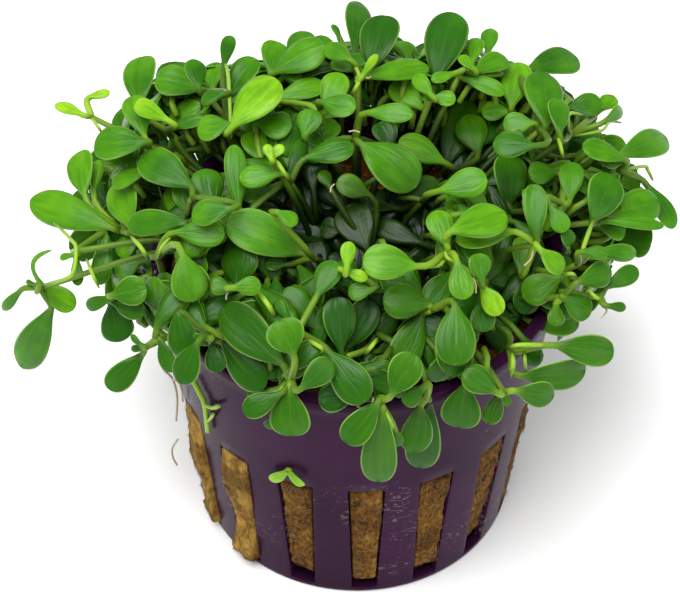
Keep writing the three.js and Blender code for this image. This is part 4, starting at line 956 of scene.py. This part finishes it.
def slot_turns(z, per_slot, per_rib):
    """Angles round the pot at heights z: columns spread over each slot and each rib, whose edges lean."""
    half = (slot_half(np.clip(z, SLOT_BOTTOM, SLOT_TOP)) / wall_radius(z))[:, None]
    in_slot = np.linspace(-1, 1, per_slot, endpoint=False)
    in_rib = np.linspace(0, 1, per_rib, endpoint=False)
    sector = np.concatenate([half * in_slot, half + (SLOT_PITCH - 2 * half) * in_rib], 1)
    centres = slot_centre(np.arange(SLOT_COUNT))
    return (centres[None, :, None] + sector[:, None, :]).reshape(len(z), -1)


def ring_points(radius, turns, z):
    """Points at a radius, angle and height, all broadcast together."""
    radius, turns, z = np.broadcast_arrays(radius, turns, z)
    return np.stack([radius * np.cos(turns), radius * np.sin(turns), z], -1)


def make_pot():
    """The net pot: a shell turned from one profile, open at its slots, with a wall round each opening.

    The profile runs from the centre of the base up the outside, over the rim, down the inside and back to
    the centre. Outer and inner rows share heights, so a slot's edge joins an outer point to an inner one."""
    per_slot, per_rib = POT_COLUMNS
    band = POT_HEIGHT - RIM_BAND
    heights = np.concatenate([
        [0.0, FOOT_ROUND, SLOT_BOTTOM],
        np.linspace(SLOT_BOTTOM, SLOT_TOP, POT_ROWS[0])[1:],
        np.linspace(SLOT_TOP, band, POT_ROWS[1])[1:],
        [band + RIM_STEP, POT_HEIGHT - RIM_ROUND, POT_HEIGHT],
    ])
    out = wall_radius(heights)
    out[0] -= FOOT_ROUND
    out[-3:] = [RIM_RADIUS, RIM_RADIUS, RIM_RADIUS - RIM_STEP]
    inner = wall_radius(heights) - WALL
    inner[-1] += LIP_ROUND
    inner_z = np.maximum(heights, FLOOR_THICKNESS)
    turns = slot_turns(heights, per_slot, per_rib)
    rows, columns = turns.shape
    shell = np.concatenate([
        ring_points(out[:, None], turns, heights[:, None]),
        ring_points(inner[:, None], turns, inner_z[:, None]),
    ])
    points = np.concatenate([shell.reshape(-1, 3), [[0, 0, 0], [0, 0, FLOOR_THICKNESS]]])
    ring = np.arange(columns)
    after = (ring + 1) % columns
    i = np.arange(rows - 1)[:, None]
    in_slot = (ring % (per_slot + per_rib) < per_slot) & (heights[:-1, None] > SLOT_BOTTOM - HAIR)
    open_cell = in_slot & (heights[1:, None] < SLOT_TOP + HAIR)
    closed = ~open_cell
    solid_row = np.ones((1, columns), bool)
    left = open_cell & np.roll(closed, 1, axis=1)
    right = open_cell & np.roll(closed, -1, axis=1)
    under = open_cell & np.vstack([solid_row, closed[:-1]])
    over = open_cell & np.vstack([closed[1:], solid_row])

    # A cell's corners: 0 to 3 outside, from its lower left round to the right, and 4 to 7 inside
    inward = rows * columns
    outer = [i * columns + ring, i * columns + after, (i + 1) * columns + after, (i + 1) * columns + ring]
    corners = np.stack([*outer, *[corner + inward for corner in outer]], -1)
    outside, inside, *edges = [corners[where][:, order] for where, order in (
        (closed, [0, 1, 2, 3]), (closed, [5, 4, 7, 6]), (left, [7, 3, 0, 4]), (right, [2, 6, 5, 1]),
        (under, [1, 5, 4, 0]), (over, [6, 2, 3, 7]),
    )]
    top = (rows - 1) * columns
    rim = np.stack([top + ring, top + after, inward + top + after, inward + top + ring], -1)
    base = np.full(columns, 2 * inward)
    discs = [np.stack([after, ring, base], -1), np.stack([inward + ring, inward + after, base + 1], -1)]
    pot = add_mesh("net_pot_shell", points, [outside, inside, rim, *edges, *discs])
    bevel = pot.modifiers.new("edge", "BEVEL")
    bevel.width = EDGE_BEVEL * MM
    bevel.segments = 2
    bevel.limit_method = "ANGLE"
    bevel.angle_limit = BEVEL_ANGLE
    bevel.harden_normals = False
    return pot


def lumps(points, height, size, seed):
    """Smooth noise about `height` mm high: a sum of sines along seeded ways, `size` mm between crests."""
    chance = np.random.default_rng(seed)
    ways = unit(chance.normal(size=(LUMP_WAVES, 3)))
    ways = ways * 2 * np.pi / (size * chance.uniform(*LUMP_UNEVEN, (LUMP_WAVES, 1)))
    phase = chance.uniform(0, LUMP_PHASE, LUMP_WAVES)
    return height * (np.sin(points @ ways.T + phase).mean(-1) * LUMP_GAIN)


def wool_surface(turns, z):
    """Radius of the wool at an angle and height: inside the wall, and out through each slot, ragged."""
    turned = turns + np.pi / 2 - FRONT_SLOT_TURN
    local = (turned + SLOT_PITCH / 2) % SLOT_PITCH - SLOT_PITCH / 2
    number = np.round(turned / SLOT_PITCH).astype(int) % SLOT_COUNT
    number = np.where(number > SLOT_COUNT // 2, number - SLOT_COUNT, number)
    wall = wall_radius(z)
    aside = np.abs(local) * wall
    half = slot_half(np.clip(z, SLOT_BOTTOM, SLOT_TOP)) - WOOL_SIDE_GAP
    inside = np.clip((half - aside) / WOOL_SIDE_SOFT, 0, 1)
    inside = inside * inside * (3 - 2 * inside)
    above = np.clip((z - SLOT_BOTTOM - WOOL_END_GAP) / WOOL_END_SOFT[0], 0, 1)
    below = np.clip((SLOT_TOP - WOOL_END_GAP - z) / WOOL_END_SOFT[1], 0, 1)
    inside *= above * below
    place = ring_points(wall, turns, z)
    face = -WOOL_SUNK + sum(lumps(place, *row) for row in WOOL_LUMPS)
    for slot_number, height, spread, rise in WOOL_FEATURES:
        face = face + rise * (number == slot_number) * np.exp(-((z - height) / spread) ** 2)
    back = wall - WALL - WOOL_GAP + lumps(place, *SKIN_LUMPS)
    return back + inside * (WALL + WOOL_GAP + face)


def make_wool():
    """The wool plug: a closed body of revolution whose skin follows wool_surface(), with a domed crown."""
    low, high = FLOOR_THICKNESS + WOOL_GAP, WOOL_TOP
    z = np.concatenate([
        np.linspace(low, SLOT_TOP + 1, WOOL_ROWS[0]),
        np.linspace(SLOT_TOP + 1, high - WOOL_ROUND, WOOL_ROWS[1])[1:],
    ])
    turns = slot_turns(z, *WOOL_COLUMNS)
    skin = ring_points(wool_surface(turns, np.broadcast_to(z[:, None], turns.shape)), turns, z[:, None])
    shares = np.array(CROWN_SHARES)[:, None]
    crown_r = (wall_radius(high) - WALL - WOOL_GAP) * shares
    crown = ring_points(crown_r, turns[-1:], high - CROWN_DROP * shares ** 6)
    crown[..., 2] += lumps(crown, *CROWN_LUMPS)
    bunch = Bunch()
    bunch.add(np.concatenate([skin, crown]), [0, 0, low], [0, 0, high])
    return bunch.mesh("wool_plug")


def make_fibres(chance):
    """Loose fibres over the wool in every slot: short bowed three-sided hairs that lie along its face."""
    bunch = Bunch()
    hump = 1 - np.linspace(-1, 1, 5) ** 2
    low, high = SLOT_BOTTOM + FIBRE_EDGE[0], SLOT_TOP - FIBRE_EDGE[0]
    for number in range(SLOT_COUNT):
        for _ in range(FIBRES_PER_SLOT):
            z = chance.uniform(SLOT_BOTTOM + FIBRE_ENDS[0], SLOT_TOP - FIBRE_ENDS[1])
            aside = chance.uniform(-FIBRE_SPREAD, FIBRE_SPREAD) * slot_half(z)
            lean = chance.normal(0.0, FIBRE_LEAN)
            step = np.linspace(-0.5, 0.5, 5) * chance.uniform(*FIBRE_LONG)
            bow = chance.uniform(-FIBRE_BOW, FIBRE_BOW) * hump
            heights = np.clip(z + step * math.cos(lean) + bow * math.sin(lean), low, high)
            limit = slot_half(heights) - FIBRE_EDGE[1]
            across = np.clip(aside + step * math.sin(lean) - bow * math.cos(lean), -limit, limit)
            turns = slot_centre(number) + across / wall_radius(heights)
            lift = FIBRE_LIFT[0] + FIBRE_LIFT[1] * chance.uniform(0, 1) * hump
            line = ring_points(wool_surface(turns, heights) + lift, turns, heights)
            if np.min(np.linalg.norm(np.diff(line, axis=0), axis=1)) < SHORTEST_LEG:
                continue
            radius = chance.uniform(*FIBRE_RADIUS)
            add_tube(bunch, line, radius, FIBRE_COLUMNS, pale=chance.uniform(0, 1) ** 2)
    return bunch.mesh("wool_fibres")


def on_pot(u, v, lift):
    """The point seen at (u, v) on the pot's side, raised by lift: the first crossing on a march inward."""
    depths = np.linspace(*POT_SEARCH)
    line = seen(np.full_like(depths, u), np.full_like(depths, v), depths)
    out = np.hypot(line[:, 0], line[:, 1])
    inside = out < wall_radius(line[:, 2]) + lift
    return line[int(np.argmax(inside)) if inside.any() else int(np.argmin(out))]


def pot_strand(places, lift):
    """A smooth line over the pot's side through points seen at (u, v)."""
    return spline([on_pot(u, v, lift) for u, v in places], STRAND_STEPS)


def make_stalks():
    """Stalks and stems that show between the leaves, a little under the cushion's surface, and on the pot.

    Each of the first dips deeper at its ends, by the cube of the distance from its middle, and painted shade
    darkens it there."""
    bunch = Bunch()
    for thickness, tone, places in STALKS:
        line = spline([(u, v, 0.0) for u, v in places], STRAND_STEPS)
        end = np.abs(np.linspace(-1, 1, len(line))) ** 3
        sunk = cushion_depth(line[:, 0], line[:, 1]) - STALK_DEPTH - STALK_DIP * end
        radius = STALK_SHARE * thickness / 2 * (1 - STALK_THINNER * end)
        # the darker tone at the ends is painted shade where the stalk goes in under the leaves
        add_stalk(bunch, seen(line[:, 0], line[:, 1], sunk), radius, (tone - STALK_END_SHADE * end)[:, None])
    for thickness, places in POT_STALKS:
        line = pot_strand(places, POT_STALK_LIFT)
        add_stalk(bunch, line, POT_ROOT_SHARE * thickness / 2, POT_STALK_TONE)
    return bunch.mesh("loose_stalks")


def make_roots():
    """Pale thin roots: those that hang on the pot's side, and short ones between the leaves."""
    bunch = Bunch()
    for thickness, places in POT_ROOTS:
        line = pot_strand(places, POT_ROOT_LIFT)
        add_tube(bunch, line, POT_ROOT_SHARE * thickness / 2, ROOT_COLUMNS, pale=POT_ROOT_PALE)
    for thickness, places in LEAF_ROOTS:
        points = [seen(u, v, cushion_depth(u, v) - STALK_DEPTH + ROOT_ABOVE) for u, v in places]
        line = spline(points, STRAND_STEPS)
        add_tube(bunch, line, LEAF_ROOT_SHARE * thickness / 2, ROOT_COLUMNS, pale=LEAF_ROOT_PALE)
    return bunch.mesh("pale_roots")


def make_torn_leaf(chance):
    """The torn end of a leaf that lies on the pot's side above a slot: two short arms from one fold."""
    bunch = Bunch()
    fold = on_pot(*TORN_FOLD, TORN_LIFT[0])
    face = unit(fold * [1, 1, 0])
    for u, v in TORN_ENDS:
        end = on_pot(u, v, TORN_LIFT[1])
        blade = Blade(fold, end, unit(np.cross(face, end - fold)), face, TORN_WIDTH / 2)
        blade.tone = TORN_TONE
        add_leaf(bunch, fold + face * TORN_STALK, blade, chance)
    return bunch.mesh("torn_leaf")


# Finishes: colour stops of leaves and wool, then colours of fibres and roots, dark and light

LEAF_GREENS = [
    (0.0, (0.004, 0.032, 0.001)), (0.28, (0.014, 0.086, 0.001)), (0.52, (0.050, 0.190, 0.002)),
    (0.78, (0.105, 0.295, 0.003)), (1.0, (0.235, 0.450, 0.010)),
]
WOOL_BROWNS = [
    (0.34, (0.016, 0.006, 0.001)), (0.43, (0.055, 0.022, 0.004)), (0.50, (0.110, 0.048, 0.008)),
    (0.57, (0.190, 0.095, 0.018)), (0.66, (0.340, 0.210, 0.055)),
]
FIBRE_COLOURS = ((0.09, 0.045, 0.011), (0.28, 0.17, 0.05))
ROOT_COLOURS = ((0.16, 0.10, 0.04), (0.60, 0.52, 0.34))


class Term:
    """A socket in a shader's sums: arithmetic on it adds Math nodes."""

    def __init__(self, shader, socket):
        self.shader, self.socket = shader, socket

    def math(self, operation, *terms):
        return self.shader.node("ShaderNodeMath", {"operation": operation}, dict(enumerate(terms)))

    def __add__(self, other):
        return self.math("ADD", self, other)

    def __sub__(self, other):
        return self.math("SUBTRACT", self, other)

    def __rsub__(self, other):
        return self.math("SUBTRACT", other, self)

    def __mul__(self, other):
        return self.math("MULTIPLY", self, other)

    __radd__ = __add__
    __rmul__ = __mul__

    def size(self):
        """The value without its sign."""
        return self.math("ABSOLUTE", self)

    def step(self, low, high):
        """Smooth step from 0 at low to 1 at high."""
        settings = {"interpolation_type": "SMOOTHSTEP"}
        inputs = {"Value": self, "From Min": low, "From Max": high}
        return self.shader.node("ShaderNodeMapRange", settings, inputs)


class Shader:
    """A material under construction round its Principled surface."""

    def __init__(self, name):
        self.material = bpy.data.materials.new(name)
        self.material.use_nodes = True
        self.tree = self.material.node_tree
        self.surface = self.tree.nodes["Principled BSDF"]
        self.place = self.node("ShaderNodeTexCoord", output="Object")

    def node(self, kind, settings=None, inputs=None, output=0):
        """A node of a kind, with its settings, then the values or links of its inputs; gives one output."""
        made = self.tree.nodes.new(kind)
        for key, value in (settings or {}).items():
            if key == "stops":
                ramp = made.color_ramp.elements
                while len(ramp) < len(value):
                    ramp.new(1.0)
                for element, (position, colour) in zip(ramp, value):
                    element.position, element.color = position, (*colour, 1.0)
            else:
                setattr(made, key, value)
        for key, value in (inputs or {}).items():
            self.feed(made.inputs[key], value)
        return Term(self, made.outputs[output])

    def feed(self, socket, value):
        """Links a term to a socket, or sets its value."""
        if isinstance(value, Term):
            self.tree.links.new(value.socket, socket)
        else:
            socket.default_value = value

    def axis(self, name):
        """A point's own place along X, Y or Z, in metres."""
        return self.node("ShaderNodeSeparateXYZ", None, {"Vector": self.place}, name)

    def own(self, name):
        """A value that the mesh gives its points."""
        return self.node("ShaderNodeAttribute", {"attribute_name": name}, output="Fac")

    def noise(self, scale, detail=2.0, stretch=(1, 1, 1)):
        """Noise of `scale` features to the metre, squeezed along each axis by stretch."""
        place = self.node("ShaderNodeMapping", None, {"Vector": self.place, "Scale": stretch})
        inputs = {"Vector": place, "Scale": scale, "Detail": detail}
        return self.node("ShaderNodeTexNoise", None, inputs, "Fac")

    def mix(self, share, first, second):
        """Two colours mixed, each a term or three numbers: the first at share 0, the second at 1."""
        first, second = (c if isinstance(c, Term) else (*c, 1.0) for c in (first, second))
        return self.node("ShaderNodeMix", {"data_type": "RGBA"}, {0: share, 6: first, 7: second}, 2)

    def ramp(self, value, stops):
        return self.node("ShaderNodeValToRGB", {"stops": stops}, {0: value})

    def bump(self, height, strength, distance):
        inputs = {"Height": height, "Strength": strength, "Distance": distance}
        return self.node("ShaderNodeBump", None, inputs)

    def finish(self, **sockets):
        """Feeds the surface's sockets, named with _ for a space, and gives the material."""
        for key, value in sockets.items():
            self.feed(self.surface.inputs[key.replace("_", " ")], value)
        return self.material


def leaf_finish():
    """Glossy leaf: a green ramp over each leaf's tone, pale stalk, a painted highlight along the margin,
    faint veins and puckers.

    Painted shade darkens the leaves low in front and the inside of the cushion; undersides are paler."""
    shader = Shader("living_leaf")
    names = ("along", "across", "face", "tone", "depth")
    along, across, face, tone, depth = (shader.own(name) for name in names)
    off_middle = across.size()
    shade = 0.5 + 0.42 * tone + 0.5 * (shader.noise(260, 3.0) - 0.5) + 0.10 * along.step(0.3, 1.0)
    # edge: each leaf's margin, which gets a painted highlight below
    edge = off_middle.step(0.88, 0.98) * along.step(0.0, 0.2)
    rib = (1 - off_middle.step(0.0, 0.10)) * along.step(0.95, 0.1)
    side_vein = (1 - (off_middle - 0.45 - 0.1 * along).size().step(0.0, 0.08)) * along.step(0.85, 0.35)
    place = {0: along * 2 + tone * 40, 1: across * 2.6 + tone * 90}
    over_leaf = shader.node("ShaderNodeCombineXYZ", None, place)
    inputs = {"Vector": over_leaf, "Scale": 1.0, "Detail": 2.0}
    pucker = shader.node("ShaderNodeTexNoise", {"noise_dimensions": "2D"}, inputs, "Fac")
    # low: leaves low down at the front, where painted shade stands in for the light they miss
    low = shader.axis("Z").step(0.060, 0.048) * shader.axis("Y").step(-0.004, -0.018)
    stalk = shader.mix(tone.step(-1.0, 0.9), (0.015, 0.050, 0.004), (0.24, 0.40, 0.03))
    colour = shader.ramp(shade, LEAF_GREENS)
    for share, over in (
        (pucker.step(0.40, 0.65) * 0.30, (0.014, 0.090, 0.001)),
        # painted shade on the leaves low at the front, bright leaves spared
        (low * tone.step(0.9, 0.5) * 0.74, (0.010, 0.064, 0.001)),
        # painted highlight along the margins, mixed with the real paler midrib and side veins
        (0.52 * edge + 0.05 * rib + 0.03 * side_vein, (0.34, 0.56, 0.09)),
        (0.35 * face.step(0.15, -0.3) * along.step(0.0, 0.3), (0.07, 0.20, 0.03)),
        (along.step(0.20, -0.25) * 0.85, stalk),
        # painted shade deep inside the cushion
        (depth.step(0.22, 0.56) * 0.92, (0.003, 0.012, 0.001)),
    ):
        colour = shader.mix(share, colour, over)
    veins = 1.2 * pucker + 0.3 * rib + 0.15 * side_vein + 0.25 * shader.noise(900, 2.0)
    return shader.finish(
        Base_Color=colour,
        Roughness=0.24 + 0.16 * shader.noise(300, 2.0),
        Specular_IOR_Level=0.16,
        Normal=shader.bump(veins, 0.25, 0.0003),
    )


def pot_finish():
    """Dark aubergine moulded plastic with a soft gloss, mineral crust in patches and small dark specks."""
    shader = Shader("aubergine_plastic")
    cloud = shader.noise(60, 3.0)
    colour = shader.mix(cloud.step(0.35, 0.7), (0.020, 0.004, 0.019), (0.032, 0.007, 0.031))
    patch = shader.noise(75, 2.0).step(0.54, 0.64)
    grit = shader.noise(1900, 3.0).step(0.62, 0.70)
    line = 1 - (shader.noise(160, 2.0, (1, 1, 2.5)) - 0.5).size().step(0.004, 0.014)
    crust = patch * (grit + 0.7 * line * shader.noise(700, 2.0).step(0.45, 0.6))
    colour = shader.mix(crust * 0.42, colour, (0.42, 0.36, 0.28))
    speck = shader.noise(1400, 1.0).step(0.74, 0.78)
    colour = shader.mix(speck * 0.7, colour, (0.01, 0.006, 0.008))
    return shader.finish(
        Base_Color=colour,
        Roughness=0.20 + 0.10 * cloud + 0.4 * crust,
        Specular_IOR_Level=0.03,
        Normal=shader.bump(0.5 * shader.noise(500, 3.0) + crust, 0.25, 0.00012),
    )


def wool_finish():
    """Matted mineral fibre: ochre and olive brown in upright streaks, paler patches at the left, pits."""
    shader = Shader("matted_wool")
    streak = shader.noise(2200, 4.0, (1, 1, 0.6))
    broad = shader.noise(130, 3.0)
    pit = shader.noise(1100, 3.0)
    colour = shader.ramp(0.40 * streak + 0.45 * broad + 0.15 * pit, WOOL_BROWNS)
    left = shader.axis("X").step(-0.008, -0.016)
    patch = shader.noise(330, 2.0, (1, 1, 0.6)).step(0.42, 0.58)
    colour = shader.mix(left * (0.16 + 0.50 * patch), colour, (0.47, 0.29, 0.06))
    colour = shader.mix(shader.noise(420, 2.0).step(0.62, 0.70) * 0.8, colour, (0.020, 0.008, 0.002))
    return shader.finish(
        Base_Color=colour,
        Roughness=0.92,
        Specular_IOR_Level=0.08,
        Normal=shader.bump(streak + 0.6 * pit, 1.0, 0.0003),
    )


def thread_finish(name, dark, light):
    """Thin fibre or root: its own paleness between two colours."""
    shader = Shader(name)
    share = shader.own("pale") * 0.8 + 0.3 * (shader.noise(700, 2.0) - 0.5)
    return shader.finish(
        Base_Color=shader.mix(share, dark, light),
        Roughness=0.6 + 0.2 * shader.noise(900, 1.0),
    )


def floor_finish():
    """Matt white floor, a little uneven in its tint."""
    shader = Shader("studio_floor")
    colour = shader.mix(shader.noise(4, 2.0), (0.93, 0.93, 0.93), (0.96, 0.96, 0.96))
    return shader.finish(Base_Color=colour, Roughness=0.75)


# Assembly

def dress(piece, material, slot, *nodes):
    """Gives a piece its material and its body, and hides the solids that it stands for; slot is not used."""
    piece.data.materials.append(material)
    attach(piece, "root")
    if nodes:
        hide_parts(*nodes)


leaf_material = leaf_finish()
chance = np.random.default_rng(SEED)
shoots = plant_shoots()
set_tones(shoots, chance)
for number, shoot in enumerate(shoots, 1):
    bunch = Bunch()
    for blade in shoot.blades:
        add_leaf(bunch, shoot.at, blade, chance)
    stem = spline(shoot.path, STEM_STEPS)
    radius = np.linspace(STEM_RADIUS, STEM_RADIUS * STEM_TIP, len(stem))
    add_stalk(bunch, stem, radius, np.linspace(-1.0, 0.0, len(stem))[:, None])
    dress(bunch.mesh(f"leafy_shoot_{number:02d}"), leaf_material, "leaf", f"shoot_{number:02d}")

crowd = Crowd(shoots)
inner = Bunch()
small_leaves(crowd, chance, inner)
inner_leaves(crowd, chance, inner)
dress(inner.mesh("inner_leaves"), leaf_material, "leaf")
wrap = Bunch()
wrap_leaves(crowd, chance, wrap)
dress(wrap.mesh("wrapping_leaves"), leaf_material, "leaf")
dress(make_stalks(), leaf_material, "leaf")
dress(make_torn_leaf(chance), leaf_material, "leaf")
dress(make_pot(), pot_finish(), "pot_plastic", "net_pot")
dress(make_wool(), wool_finish(), "wool", "rock_wool")
dress(make_fibres(chance), thread_finish("loose_fibre", *FIBRE_COLOURS), "wool")
dress(make_roots(), thread_finish("pale_root", *ROOT_COLOURS), "leaf")

# Studio: floor, light and the camera on the line of sight

bpy.ops.mesh.primitive_plane_add(size=4.0, location=(0, 0, 0))
floor = bpy.context.object
floor.name = "studio_floor"
floor.data.materials.append(floor_finish())


def add_light(name, place, size, power, target=(0, 0, 0.04)):
    """A square area light at `place`, turned to the target."""
    light = bpy.data.lights.new(name, "AREA")
    light.shape, light.size, light.energy = "SQUARE", size, power
    lamp = add_object(name, light)
    lamp.location = place
    away = np.array(place) - np.array(target)
    tilt = math.atan2(math.hypot(away[0], away[1]), away[2])
    lamp.rotation_euler = (tilt, 0, math.atan2(away[0], -away[1]))


add_light("key", place=(-0.16, -0.18, 0.80), size=0.60, power=10.3)
add_light("fill", place=(0.50, -0.40, 0.40), size=0.40, power=1.4)
world = bpy.data.worlds.new("studio")
world.use_nodes = True
background = world.node_tree.nodes["Background"]
background.inputs["Color"].default_value = (1, 1, 1, 1)
background.inputs["Strength"].default_value = 0.55
bpy.context.scene.world = world
bpy.context.scene.view_settings.view_transform = "Standard"

camera = add_object("camera", bpy.data.cameras.new("camera"))
camera.data.lens, camera.data.sensor_width = LENS, SENSOR
camera.data.clip_start, camera.data.clip_end = CLIP
turn = Matrix([X_AXIS, UP, VIEW]).transposed().to_4x4()
camera.matrix_world = Matrix.Translation(EYE * MM) @ turn
bpy.context.scene.camera = camera
